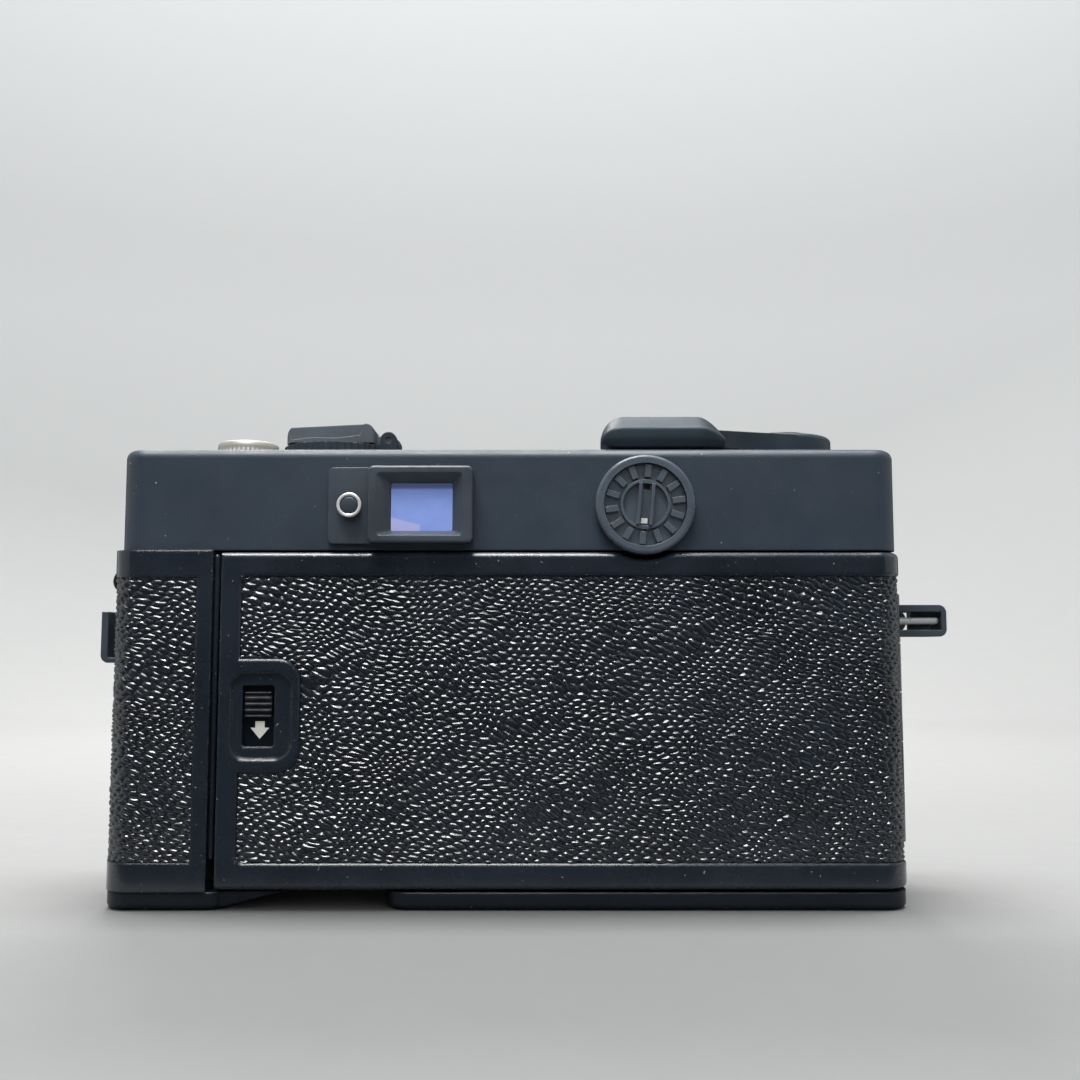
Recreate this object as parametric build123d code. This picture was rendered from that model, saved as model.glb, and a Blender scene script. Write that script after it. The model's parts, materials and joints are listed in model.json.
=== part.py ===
from build123d import *
import os
from math import cos, radians, sin

# Compact 35 mm rangefinder camera with a fixed lens, a hinged back door and a
# folding rewind crank. Millimetres. The origin is the tripod socket on the base
# plane, +Z is up, the lens looks along -Y and the back door faces +Y, so +X is
# at the photographer's left hand.

os.makedirs("parts", exist_ok=True)

# ---------------------------------------------------------------- dimensions
FIT = 0.05  # radial running fit of a shaft in its hole
FAR = 90.0  # further than any part reaches

# Case: the block between the bottom cover and the top cover.
CASE_X = (-58.8, 58.8)
CASE_Y = (-15.0, 16.0)
CASE_Z = (2.7, 52.2)
CASE_R = 4.0
SHELL_T = 1.5
LEATHER_T = 0.7
LEATHER_Z = (6.8, 48.2)
END_X = 43.4  # the fixed left end section starts here
END_LEATHER_X = 45.7
RETURN_T = 1.2
HINGE_SIDE_Y = 5.0  # the shell's right wall stops here

# Back door.
DOOR_X = 42.1
DOOR_Z = (2.9, 51.9)
DOOR_T = 1.4
DOOR_FLANGE_T = 1.2
DOOR_FLANGE_Y = 11.6
DOOR_WRAP_Y = 8.8
DOOR_LEATHER_X = 39.1
DOOR_LEATHER_Z = (6.8, 48.3)
DOOR_LEATHER_DEPTH = (0.45, 0.95)
RIM_ROUND_R = 0.5
SCOOP_ROUND_R = 0.4
DOOR_EDGE_R = 0.9
NOTCH_R = 8.1
NOTCH_BLEND_R = 2.5

# Door hinge.
HINGE = (-59.0, 7.0)
HINGE_R = 1.5
HINGE_PIN_R = 0.7
HINGE_Z = (8.5, 46.0)
KNUCKLES = 5
KNUCKLE_GAP = 0.15

# Door catch.
PLATEAU_X = (30.2, 50.0)
PLATEAU_Z = (19.6, 36.2)
PLATEAU_R = 3.3
SCOOP_X = (31.6, 40.2)
SCOOP_Z = (21.6, 34.0)
SCOOP_R = 2.2
SCOOP_DEPTH = 0.5
WINDOW_X = (34.0, 38.7)
WINDOW_Z = (23.4, 32.3)
WINDOW_R = 0.4
CATCH_X = (34.4, 38.3)
CATCH_Z = (27.7, 31.3)
CATCH_PLATE_X = (32.6, 40.4)
CATCH_PLATE_Z = (21.0, 33.9)
CATCH_PLATE_Y = (13.2, 14.2)
CATCH_FACE_Y = 15.6
CATCH_RIBS = 4

# Film path.
FILM_Y = 11.5
CAST_X = (-55.6, 43.4)
CAST_Y = (-13.5, 11.0)
CAST_Z = (3.8, 52.2)
CAST_R = 3.0
CHAMBER_Z = (6.5, 49.5)
CAST_SPLITS = (-22.15, 14.9)  # in the walls either side of the gate
CASSETTE = (28.0, 0.0)
CASSETTE_R = 12.7
SPOOL = (-43.8, 0.6)
SPOOL_CHAMBER_R = 10.5
SPROCKET = (-29.3, 5.45)
SPROCKET_R = 6.05
SPROCKET_POCKET_R = 6.5
FRAME_W = 36.0
FRAME_H = 24.0
RAIL_T = 1.2
GATE_DEPTH_Y = -4.0
DARK_BOX_R = 17.5

# Lens axis.
LENS_X = -3.5
LENS_Z = 27.4
LENS_PLATE_HALF = (29.0, 22.0)
LENS_PLATE_Y = (-16.4, -15.0)
BARREL_R = 25.5
SLEEVE_R = 19.4
SLEEVE_BORE_R = 17.6
SLEEVE_Y = (-36.8, -13.5)
FOCUS_Y = (-30.6, -24.3)
FOCUS_R = 25.0
EXPOSURE_Y = (-36.4, -30.9)
EXPOSURE_R = 24.2
FRONT_Y = (-41.6, -37.3)
FRONT_R = 24.6
FILTER_R = 22.6
FILTER_LENGTH = 2.2
TUBE_R = SLEEVE_BORE_R - FIT
TUBE_Y = (-38.6, -21.0)
LENS_R = 8.6
HOUSING_Y = (-16.6, -14.6)
REAR_LENS_R = 7.0
APERTURE_R = 5.0
BLADE_R = 5.6
BLADE_PIVOT = 11.0
BLADE_PIN_R = 0.8

# Pressure plate.
PRESSURE_X = (-23.5, 16.5)
PRESSURE_Z = (11.0, 43.8)
PRESSURE_Y = (11.8, 12.6)

# Bottom cover.
FOOT_X = (40.1, 58.6)
PAD_X = (-58.6, 17.8)
PAD_Z = (0.0, 2.6)
PAD_Y = (-14.8, 15.7)
RAMP_X = (32.5, 40.1)
BASE_PLATE_Z = (2.6, 3.8)
PAD_R = 3.6
PAD_EDGE_R = 0.9

# Top cover.
COVER_X = (-58.4, 57.9)
COVER_Y = (-14.8, 15.2)
COVER_Z = (52.2, 67.5)
COVER_R = 3.5
COVER_EDGE_R = 1.4
COVER_T = 1.2
TOP = COVER_Z[1]
UNDER = COVER_Z[1] - COVER_T

# Finder windows on the front of the top cover.
FINDER_X = (5.5, 20.5)
FINDER_Z = (54.6, 63.4)
FRAME_WINDOW_X = (-8.0, 2.2)
FRAME_WINDOW_Z = (55.6, 62.4)
RANGE_WINDOW_X = (-17.4, -11.0)
RANGE_WINDOW_Z = (56.2, 61.8)
BEZEL_X = (-20.5, 23.5)
BEZEL_Z = (53.2, 64.8)
BEZEL_Y = (-15.6, -14.8)
WINDOW_BOXES = [
    (FINDER_X, FINDER_Z),
    (FRAME_WINDOW_X, FRAME_WINDOW_Z),
    (RANGE_WINDOW_X, RANGE_WINDOW_Z),
]
MIRROR = (-14.0, -4.0)

# Eyepiece plate on the back of the top cover.
EYE_PLATE_X = (5.0, 26.5)
EYE_PLATE_Z = (53.1, 64.5)
EYE_PLATE_Y = (15.2, 16.1)
EYE_BLOCK_X = (5.0, 20.4)
EYE_BLOCK_Y = 17.9
EYE_RECESS_X = (6.5, 19.2)
EYE_RECESS_Z = (54.2, 63.5)
GLASS_X = (7.9, 17.3)
GLASS_Z = (54.8, 62.2)
GLASS_Y = (15.4, 16.3)
CHECK_BUTTON = (23.2, 58.7)
CHECK_R = 1.85
CHECK_TRAVEL = 0.7

# Battery chamber, seen as a round cap on the back of the top cover.
BATTERY = (-20.5, 58.9)
COLLAR_R = 7.4
COLLAR_BORE_R = 6.15
CHAMBER_TUBE_R = 6.65
COLLAR_Y = 17.0
CHAMBER_END_Y = 0.8
CAP_R = COLLAR_BORE_R - FIT
CAP_BACK_Y = 13.4
CAP_FLOOR_Y = 16.1
CAP_RIB_Y = 16.7
CAP_KNOB_Y = 17.3
CAP_RIB_COUNT = 14
CAP_RIB_SPAN = (4.05, 5.95)
CAP_RIB_W = 0.9
CAP_KNOB_R = 3.7
CAP_POCKET_R = 3.3
CAP_POCKET_Y = 16.0
CAP_SLOT_Y = 16.2
CAP_RIDGE = (0.7, 1.2)
CAP_GRIP = 3.1
CAP_TILT = -5.0
CELL_R = 5.8
CELL_H = 5.4

# Advance lever.
LEVER_R = 8.0
LEVER_HUB_Z = (67.8, 71.2)
LEVER_SHAFT_R = 2.2
LEVER_CAP_R = 4.6
TIP_X = (-33.1, -14.4)
TIP_Y = (5.0, 13.6)
TIP_Z = (67.5, 73.3)
ARM_Y = (4.2, 8.6)
ARM_Z = (68.4, 70.9)

# Rewind.
REWIND_R = 8.45
REWIND_DISC_Z = (67.7, 69.8)
REWIND_SHAFT_R = 2.2
REWIND_SLEEVE_R = 3.4
REWIND_SLEEVE_LOW = 55.5
CRANK_HINGE = (19.3, 70.8)
CRANK_TOP_Z = 73.2
CRANK_SLOPE = 0.7
CRANK_END_R = 1.3
CRANK_HALF_W = 5.4
CRANK_FACET = 0.45
CRANK_PIN_R = 0.5

# Other controls on the top.
SPEED_DIAL = (44.5, -8.0)
SPEED_DIAL_R = 5.4
SPEED_DIAL_Z = (67.7, 72.2)
RELEASE = (-29.0, -6.5)
RELEASE_R = 3.0
RELEASE_TOP_Z = 70.0
CABLE_R = 1.25
CABLE_DEPTH = 3.0
COUNTER = (-37.0, -7.6)
COUNTER_R = 5.0
COUNTER_WINDOW = (-39.6, -10.2)
COUNTER_WINDOW_R = 1.9
SHOE_Y = (-12.9, 2.9)
SHOE_W = 21.0
SHOE_SLOT_W = 18.7
SHOE_LIP_GAP = 12.5
SHOE_FLOOR_Z = 66.6
SHOE_SLOT_H = 2.05
SHOE_LIP_T = 0.7

# Strap fittings: each pivot is (x, z), and each ring turns about it.
LUG_RIGHT = (-61.6, 42.0)
LUG_LEFT = (61.7, 48.4)
LUG_T = 1.6
LUG_REACH = 2.4  # kept clear round a ring's pivot
EYE_R = 1.0
GUARD_LENGTH = 8.0
GUARD_HALF = (3.5, 2.5)
RIGHT_ANGLE = 180.0  # the right ring sticks straight out
LEFT_ANGLE = 90.0  # the left ring hangs down
RIGHT_GUARD_START = -0.6
LEFT_GUARD_START = 5.0
WIRE_R = 0.55
RING_LENGTH = 6.0
RING_HALF_W = 2.1

# Self-timer lever on the front.
TIMER = (-45.0, 34.0)
TIMER_STEM_R = 1.2

# Screws through the bottom cover.
SCREW_PLACES = [(-50.0, -9.0), (-50.0, 8.0), (12.0, -9.0), (47.0, -9.0), (50.5, 9.0)]
SCREW_R = 0.8
SCREW_HEAD_R = 1.7
SCREW_HEAD_Z = (0.3, 1.3)

# Tripod socket: quarter-inch thread, drilled to the tapping size.
SOCKET_R = 2.55
SOCKET_LENGTH = 5.5
BUSH_R = 5.0


# ------------------------------------------------------------------- helpers
def mid(pair):
    return (pair[0] + pair[1]) / 2


def span(pair):
    return pair[1] - pair[0]


def slab(x, y, z):
    """A box between three (low, high) pairs."""
    block = Box(span(x), span(y), span(z), align=(Align.MIN,) * 3)
    return Pos(x[0], y[0], z[0]) * block


def up(sketch, z):
    """A plan sketch raised from z[0] to z[1]."""
    return extrude(Pos(0, 0, z[0]) * sketch, amount=span(z), dir=(0, 0, 1))


def back(sketch, y):
    """A sketch drawn on X and Z, filled from y[0] back to y[1]."""
    return extrude(Plane.XZ.offset(-y[1]) * sketch, amount=span(y), dir=(0, -1, 0))


def across(sketch, x):
    """A sketch drawn on Y and Z, filled from x[0] to x[1]."""
    return extrude(Plane.YZ.offset(x[0]) * sketch, amount=span(x), dir=(1, 0, 0))


def plate(x, z, y, radius):
    """A plate that faces the back, with rounded corners."""
    outline = RectangleRounded(span(x), span(z), radius)
    return back(Pos(mid(x), mid(z)) * outline, y)


def rod_z(centre, z, radius):
    return up(Pos(*centre) * Circle(radius), z)


def rod_y(centre, y, radius):
    return back(Pos(*centre) * Circle(radius), y)


def rod_x(centre, x, radius):
    return across(Pos(*centre) * Circle(radius), x)


def ring_y(centre, y, outer, inner):
    return back(Pos(*centre) * (Circle(outer) - Circle(inner)), y)


def toothed(radius, depth, count):
    """A round outline with count small teeth."""
    points = []
    for step in range(2 * count):
        angle = radians(180.0 * step / count)
        reach = radius - depth * (step % 2)
        points.append((reach * cos(angle), reach * sin(angle)))
    return Polygon(*points, align=None)


def turned(points):
    """A solid of revolution on the lens axis from (radius, y) points."""
    profile = Polygon(*points, align=None)
    return Pos(LENS_X, 0, LENS_Z) * revolve(profile, axis=Axis.Y)


def turned_z(centre, points):
    """A solid of revolution on an upright axis from (radius, z) points."""
    profile = Plane.XZ * Polygon(*points, align=None)
    return Pos(centre[0], centre[1], 0) * revolve(profile, axis=Axis.Z)


def case_outline(inset):
    """The plan of the case, set in by a distance all round."""
    size_x = span(CASE_X) - 2 * inset
    size_y = span(CASE_Y) - 2 * inset
    outline = RectangleRounded(size_x, size_y, CASE_R - inset)
    return Pos(mid(CASE_X), mid(CASE_Y)) * outline


def case_band(outer, inner, z):
    return up(case_outline(outer) - case_outline(inner), z)


# ------------------------------------------------------------- case and skin
def leather_zones():
    """The two stretches of the case that are covered, either side of the lens."""
    lens_left = LENS_X + LENS_PLATE_HALF[0]
    lens_right = LENS_X - LENS_PLATE_HALF[0]
    left = slab((END_LEATHER_X, FAR), (-FAR, FAR), LEATHER_Z)
    left += slab((lens_left, FAR), (-FAR, 0), LEATHER_Z)
    right = slab((-FAR, lens_right), (-FAR, HINGE_SIDE_Y - 1.2), LEATHER_Z)
    return left, right


def body_leather():
    left, right = leather_zones()
    band = case_band(0.0, LEATHER_T, LEATHER_Z)
    lug_pad_left = slab((CASE_X[1] - 2, FAR), (-3.2, 3.2), (45.2, LEATHER_Z[1]))
    lug_pad_right = slab((-FAR, CASE_X[0] + 2), (-3.2, 3.2), (38.8, 45.2))
    right -= rod_y(TIMER, (-FAR, 0), TIMER_STEM_R + FIT)
    return Compound([band & (left - lug_pad_left), band & (right - lug_pad_right)])


def knuckle_span(index):
    height = span(HINGE_Z) / KNUCKLES
    low = HINGE_Z[0] + index * height
    return (low + KNUCKLE_GAP / 2, low + height - KNUCKLE_GAP / 2)


def body_shell():
    shell = case_band(0.0, SHELL_T, CASE_Z)
    shell -= slab((-FAR, END_X), (HINGE_SIDE_Y, FAR), CASE_Z)
    shell += slab((END_X, END_X + RETURN_T), (CAST_Y[1], CASE_Y[1] - SHELL_T), CASE_Z)
    shell -= body_leather()
    shell -= strap_lugs()
    shell -= rod_y(TIMER, (-FAR, 0), TIMER_STEM_R + FIT)
    shell -= rod_y((LENS_X, LENS_Z), (-FAR, CAST_Y[0]), DARK_BOX_R + 3)
    for index in range(0, KNUCKLES, 2):
        z = knuckle_span(index)
        leaf = slab((CASE_X[0], CASE_X[0] + SHELL_T), (HINGE_SIDE_Y - 1, HINGE[1]), z)
        shell += leaf + rod_z(HINGE, z, HINGE_R)
    shell -= rod_z(HINGE, HINGE_Z, HINGE_PIN_R)
    return shell


def whole_casting():
    """The die casting that holds the film chambers and the gate."""
    cast = slab(CAST_X, CAST_Y, CAST_Z)
    cast = fillet(cast.edges().filter_by(Axis.Z).group_by(Axis.Y)[0], CAST_R)
    behind = CAST_Y[1] + 1
    # Cassette chamber, open to the back.
    cast -= rod_z(CASSETTE, CHAMBER_Z, CASSETTE_R)
    mouth = (CASSETTE[0] - CASSETTE_R, CASSETTE[0] + CASSETTE_R)
    cast -= slab(mouth, (CASSETTE[1], behind), CHAMBER_Z)
    # Take-up chamber and sprocket pocket, open to the back.
    cast -= rod_z(SPOOL, CHAMBER_Z, SPOOL_CHAMBER_R)
    mouth = (SPOOL[0] - SPOOL_CHAMBER_R, SPROCKET[0] + SPROCKET_POCKET_R)
    cast -= slab(mouth, (SPROCKET[1], behind), CHAMBER_Z)
    cast -= rod_z(SPROCKET, CHAMBER_Z, SPROCKET_POCKET_R)
    # Film gate and the dark box behind the lens.
    gate_x = (LENS_X - FRAME_W / 2, LENS_X + FRAME_W / 2)
    gate_z = (LENS_Z - FRAME_H / 2, LENS_Z + FRAME_H / 2)
    cast -= slab(gate_x, (GATE_DEPTH_Y, behind), gate_z)
    cast -= rod_y((LENS_X, LENS_Z), (CAST_Y[0] - 1, GATE_DEPTH_Y), DARK_BOX_R)
    # Film rails above and below the gate.
    for side in (-1, 1):
        for offset in (FRAME_H / 2 + 1.0, FRAME_H / 2 + 4.6):
            low = LENS_Z + side * offset
            rail = tuple(sorted((low, low + side * RAIL_T)))
            cast += slab(gate_x, (CAST_Y[1], FILM_Y), rail)
    # Shaft holes.
    cast -= rod_z(CASSETTE, (CHAMBER_Z[1], FAR), REWIND_SHAFT_R + FIT)
    for centre in (SPOOL, SPROCKET):
        cast -= rod_z(centre, (CAST_Z[0], FAR), LEVER_SHAFT_R + FIT)
    cast -= rod_z((0, 0), (0, SOCKET_LENGTH + 1), BUSH_R)
    return cast


def casting(x):
    """One block of the casting, between two planes across it."""
    return whole_casting() & slab(x, (-FAR, FAR), (0, FAR))


def bottom_cover():
    pads = []
    for x in (PAD_X, FOOT_X):
        outline = RectangleRounded(span(x), span(PAD_Y), PAD_R)
        pad = up(Pos(mid(x), mid(PAD_Y)) * outline, PAD_Z)
        low_edges = pad.edges().group_by(Axis.Z)[0]
        pads.append(fillet(low_edges, PAD_EDGE_R))
    ramp_points = [
        (FOOT_X[0] + PAD_R + 0.5, PAD_Z[1]),
        (FOOT_X[0] + PAD_R + 0.5, PAD_Z[0] + PAD_EDGE_R),
        (FOOT_X[0] + PAD_EDGE_R, PAD_Z[0] + PAD_EDGE_R / 2),
        (RAMP_X[0], PAD_Z[1]),
    ]
    ramp_y = (PAD_Y[0] + PAD_EDGE_R, PAD_Y[1] - PAD_EDGE_R)
    ramp = back(Polygon(*ramp_points, align=None), ramp_y)
    sheet = up(case_outline(SHELL_T), BASE_PLATE_Z)
    sheet -= slab((-FAR, END_X + RETURN_T), (CAST_Y[1], FAR), BASE_PLATE_Z)
    sheet -= slab((-FAR, CAST_X[0]), (HINGE_SIDE_Y, FAR), BASE_PLATE_Z)
    cover = pads[0] + pads[1] + ramp + sheet
    cover -= rod_z((0, 0), (-1, FAR), BUSH_R)
    cover -= rod_z(SPROCKET, (-1, FAR), LEVER_SHAFT_R + FIT)
    for centre in SCREW_PLACES:
        cover -= rod_z(centre, (-1, FAR), SCREW_R)
        cover -= rod_z(centre, (-1, SCREW_HEAD_Z[1]), SCREW_HEAD_R)
    return cover


def base_screws():
    screws = []
    for centre in SCREW_PLACES:
        screw = rod_z(centre, SCREW_HEAD_Z, SCREW_HEAD_R)
        screw += rod_z(centre, (SCREW_HEAD_Z[1], BASE_PLATE_Z[1]), SCREW_R)
        for angle in (0, 90):
            bar = Box(2.2, 0.5, 1.0)
            screw -= Pos(centre[0], centre[1], SCREW_HEAD_Z[0]) * Rot(0, 0, angle) * bar
        screws.append(screw)
    return Compound(screws)


def tripod_bush():
    bush = rod_z((0, 0), (0, SOCKET_LENGTH + 1), BUSH_R)
    return bush - rod_z((0, 0), (-1, SOCKET_LENGTH), SOCKET_R)


def rewind_release():
    button = rod_z(SPROCKET, (0.8, 4.6), LEVER_SHAFT_R)
    return button - Pos(SPROCKET[0], SPROCKET[1], 0.2) * Sphere(1.2)


# ----------------------------------------------------------------- back door
def door_profile():
    """The door seen from behind: a rectangle with a dip for the battery cap."""
    x = (CASE_X[0] - 2, DOOR_X)
    outline = Pos(mid(x), mid(DOOR_Z)) * Rectangle(span(x), span(DOOR_Z))
    outline -= Pos(*BATTERY) * Circle(NOTCH_R)
    dip = [v for v in outline.vertices() if abs(v.X - BATTERY[0]) < NOTCH_R]
    return fillet(dip, NOTCH_BLEND_R)


def door_plan(inset, from_y, to_x):
    zone = Pos(mid((-FAR, to_x)), mid((from_y, FAR))) * Rectangle(FAR + to_x, FAR - from_y)
    return case_outline(inset) & zone


def door_leather_zone():
    z = DOOR_LEATHER_Z
    zone = slab((-FAR, DOOR_LEATHER_X), (DOOR_WRAP_Y + 1.0, FAR), z)
    corners = zone.edges().filter_by(Axis.Y).group_by(Axis.X)[-1]
    zone = fillet(corners, 1.2)
    return zone - plate(PLATEAU_X, PLATEAU_Z, (0, FAR), PLATEAU_R)


def door_leather():
    outer, inner = DOOR_LEATHER_DEPTH
    return case_band(outer, inner, DOOR_LEATHER_Z) & door_leather_zone()


def rounded_mouths(door):
    """Round the rim of the leather's recess and of the scoop round the catch."""
    face = [e for e in door.edges() if abs(e.center().Y - CASE_Y[1]) < 0.01]
    scoop = [e for e in face if in_pairs(e, SCOOP_X, SCOOP_Z)]
    door = fillet(scoop, SCOOP_ROUND_R)
    face = [e for e in door.edges() if abs(e.center().Y - CASE_Y[1]) < 0.01]
    low, high = DOOR_LEATHER_Z[0] - 0.1, DOOR_LEATHER_Z[1] + 0.1
    rim = [e for e in face if low < e.center().Z < high and e.center().X < DOOR_LEATHER_X + 0.1]
    rim = [e for e in rim if not in_pairs(e, SCOOP_X, SCOOP_Z, SCOOP_ROUND_R)]
    return fillet(rim, RIM_ROUND_R)


def in_pairs(edge, x, z, margin=0.0):
    """Whether an edge's centre lies within a box on X and Z, edges included."""
    centre, reach = edge.center(), margin + 0.01
    return x[0] - reach <= centre.X <= x[1] + reach and z[0] - reach <= centre.Z <= z[1] + reach


def back_door():
    door = up(door_plan(0.0, DOOR_WRAP_Y, DOOR_X), DOOR_Z)
    door = door & back(door_profile(), (0, FAR))
    outer_edges = [
        edge
        for edge in door.edges()
        if edge.center().Y > CASE_Y[1] - 0.01 or edge.center().X < CASE_X[0] + 2
        if abs(edge.center().Z - mid(DOOR_Z)) > span(DOOR_Z) / 2 - 1.3
    ]
    door = fillet(outer_edges, DOOR_EDGE_R)
    inside_z = (DOOR_Z[0] + DOOR_FLANGE_T, DOOR_Z[1] - 2 * DOOR_FLANGE_T)
    inside_x = DOOR_X - DOOR_FLANGE_T
    door -= up(door_plan(DOOR_T, 0, inside_x), inside_z)
    door -= slab((CAST_X[0] - 0.4, FAR), (0, DOOR_FLANGE_Y), (0, FAR))
    recess = up(case_outline(-1.0) - case_outline(DOOR_LEATHER_DEPTH[1]), DOOR_LEATHER_Z)
    door -= recess & door_leather_zone()
    door -= plate(SCOOP_X, SCOOP_Z, (CASE_Y[1] - SCOOP_DEPTH, FAR), SCOOP_R)
    door = rounded_mouths(door)
    door -= plate(WINDOW_X, WINDOW_Z, (0, FAR), WINDOW_R)
    for index in range(1, KNUCKLES, 2):
        z = knuckle_span(index)
        leaf = slab((CASE_X[0], CASE_X[0] + DOOR_T), (HINGE[1], DOOR_WRAP_Y + 0.5), z)
        door += leaf + rod_z(HINGE, z, HINGE_R)
    return door - rod_z(HINGE, HINGE_Z, HINGE_PIN_R + FIT)


def hinge_pin():
    return rod_z(HINGE, HINGE_Z, HINGE_PIN_R)


def door_catch():
    """The sliding catch: a plate behind the door with a ribbed finger pad."""
    catch = slab(CATCH_PLATE_X, CATCH_PLATE_Y, CATCH_PLATE_Z)
    pad = slab(CATCH_X, (CATCH_PLATE_Y[1], CATCH_FACE_Y), CATCH_Z)
    pitch = span(CATCH_Z) / CATCH_RIBS
    for index in range(CATCH_RIBS):
        z = CATCH_Z[0] + (index + 0.5) * pitch
        groove = Pos(CATCH_FACE_Y + 0.05, z) * Circle(0.3)
        pad -= across(groove, (0, FAR))
    return catch + pad


def pressure_plate():
    return plate(PRESSURE_X, PRESSURE_Z, PRESSURE_Y, 2.0)


def plate_spring():
    """A bowed leaf riveted inside the door, just clear of the pressure plate."""
    leaf_z = (LENS_Z - 3.0, LENS_Z + 3.0)
    foot_y = (14.4, 14.6)
    spring = slab((-6.5, -0.5), foot_y, leaf_z)
    for side in (-1, 1):
        near = LENS_X + side * 3.0
        far = LENS_X + side * 15.0
        points = [(near, 14.4), (near, 14.6), (far, 13.5), (far, 13.3)]
        spring += up(Polygon(*points, align=None), leaf_z)
    return spring


def door_seals():
    """Foam strips along the casting's top and bottom edges."""
    strips = []
    for z in ((50.2, 51.6), (4.0, 5.6)):
        strips.append(slab((CAST_X[0] + 2, CAST_X[1] - 3), (CAST_Y[1], CAST_Y[1] + 0.3), z))
    return Compound(strips)


# ----------------------------------------------------------------- top cover
def cover_sketch(inset):
    size_x = span(COVER_X) - 2 * inset
    size_y = span(COVER_Y) - 2 * inset
    outline = RectangleRounded(size_x, size_y, COVER_R - inset)
    return Pos(mid(COVER_X), mid(COVER_Y)) * outline


def top_cover():
    cover = up(cover_sketch(0.0), COVER_Z)
    cover = fillet(cover.edges().group_by(Axis.Z)[-1], COVER_EDGE_R)
    cover -= up(cover_sketch(COVER_T), (COVER_Z[0], UNDER))
    through = (UNDER - 1, TOP + 1)
    cover -= rod_z(CASSETTE, through, REWIND_SLEEVE_R + FIT)
    cover -= rod_z(SPOOL, through, LEVER_SHAFT_R + FIT)
    cover -= rod_z(RELEASE, through, RELEASE_R)
    cover -= rod_z(COUNTER_WINDOW, through, COUNTER_WINDOW_R)
    cover -= rod_z(SPEED_DIAL, through, 1.5 + FIT)
    shoe_half = SHOE_W / 2
    cover -= slab((-shoe_half, shoe_half), SHOE_Y, through)
    behind = (COVER_Y[1] - COVER_T - 1, FAR)
    cover -= rod_y(BATTERY, behind, CHAMBER_TUBE_R)
    cover -= rod_y(CHECK_BUTTON, behind, 1.25)
    cover -= slab(GLASS_X, behind, GLASS_Z)
    for x, z in WINDOW_BOXES:
        cover -= slab(x, (-FAR, COVER_Y[0] + COVER_T + 0.1), z)
    return cover


def viewfinder_plate():
    base = plate(EYE_PLATE_X, EYE_PLATE_Z, EYE_PLATE_Y, 0.8)
    block = plate(EYE_BLOCK_X, EYE_PLATE_Z, (EYE_PLATE_Y[0], EYE_BLOCK_Y), 0.8)
    block = fillet(block.edges().group_by(Axis.Y)[-1], 0.35)
    whole = base + block
    mouth = Pos(mid(EYE_RECESS_X), mid(EYE_RECESS_Z)) * RectangleRounded(
        span(EYE_RECESS_X), span(EYE_RECESS_Z), 0.5
    )
    throat = Pos(mid(GLASS_X), mid(GLASS_Z)) * RectangleRounded(
        span(GLASS_X) - 0.3, span(GLASS_Z) - 0.3, 0.3
    )
    outer_end = Plane.XZ.offset(-EYE_BLOCK_Y - 0.01) * mouth
    inner_end = Plane.XZ.offset(-GLASS_Y[1]) * throat
    whole -= loft([inner_end, outer_end])
    whole -= slab(GLASS_X, (EYE_PLATE_Y[0], GLASS_Y[1]), GLASS_Z)
    return whole - rod_y(CHECK_BUTTON, (0, FAR), 1.25)


def eyepiece_glass():
    return slab(GLASS_X, GLASS_Y, GLASS_Z)


def battery_check_button():
    """A domed button in a polished rim, on a short stem."""
    stem = rod_y(CHECK_BUTTON, (12.4, 17.0), 1.2)
    head = rod_y(CHECK_BUTTON, (EYE_PLATE_Y[1] + CHECK_TRAVEL + 0.1, 17.5), CHECK_R)
    head = fillet(head.edges().group_by(Axis.Y)[-1], 0.25)
    dish = Pos(CHECK_BUTTON[0], 17.5 + 2.75, CHECK_BUTTON[1]) * Sphere(3.1)
    return stem + head - dish


def battery_chamber():
    tube = rod_y(BATTERY, (CHAMBER_END_Y, COLLAR_Y - 0.5), CHAMBER_TUBE_R)
    flange = rod_y(BATTERY, (COVER_Y[1], COLLAR_Y), COLLAR_R)
    flange = fillet(flange.edges().group_by(Axis.Y)[-1], 0.5)
    body = tube + flange
    body -= rod_y(BATTERY, (13.0, FAR), COLLAR_BORE_R)
    return body - rod_y(BATTERY, (CHAMBER_END_Y + 0.8, 13.1), CELL_R + 0.15)


def battery_cap():
    """A coin-turned cap with radial ribs and a slotted grip in the middle."""
    cap = rod_y(BATTERY, (CAP_BACK_Y, CAP_FLOOR_Y), CAP_R)
    spot = Pos(BATTERY[0], 0, BATTERY[1]) * Rot(0, CAP_TILT, 0)
    rib = slab(CAP_RIB_SPAN, (CAP_FLOOR_Y, CAP_RIB_Y), (-CAP_RIB_W / 2, CAP_RIB_W / 2))
    for index in range(CAP_RIB_COUNT):
        angle = (index + 0.5) * 360.0 / CAP_RIB_COUNT
        cap += spot * Rot(0, angle, 0) * rib
    cap += rod_y(BATTERY, (CAP_FLOOR_Y, CAP_RIB_Y), CAP_KNOB_R)
    pocket = rod_y((0, 0), (CAP_POCKET_Y, FAR), CAP_POCKET_R)
    pocket -= slab((-CAP_RIDGE[1], CAP_RIDGE[1]), (0, FAR), (-FAR, FAR))
    cap -= spot * pocket
    for side in (-1, 1):
        x = tuple(sorted((side * CAP_RIDGE[0], side * CAP_RIDGE[1])))
        cap += spot * slab(x, (CAP_POCKET_Y, CAP_KNOB_Y), (-CAP_GRIP, CAP_GRIP))
    slot_x = (-CAP_RIDGE[0], CAP_RIDGE[0])
    cap -= spot * slab(slot_x, (CAP_SLOT_Y, FAR), (-CAP_GRIP, CAP_GRIP))
    return cap - spot * slab((-0.5, 0.5), (CAP_FLOOR_Y - 0.8, FAR), (2.2, CAP_GRIP))


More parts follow.
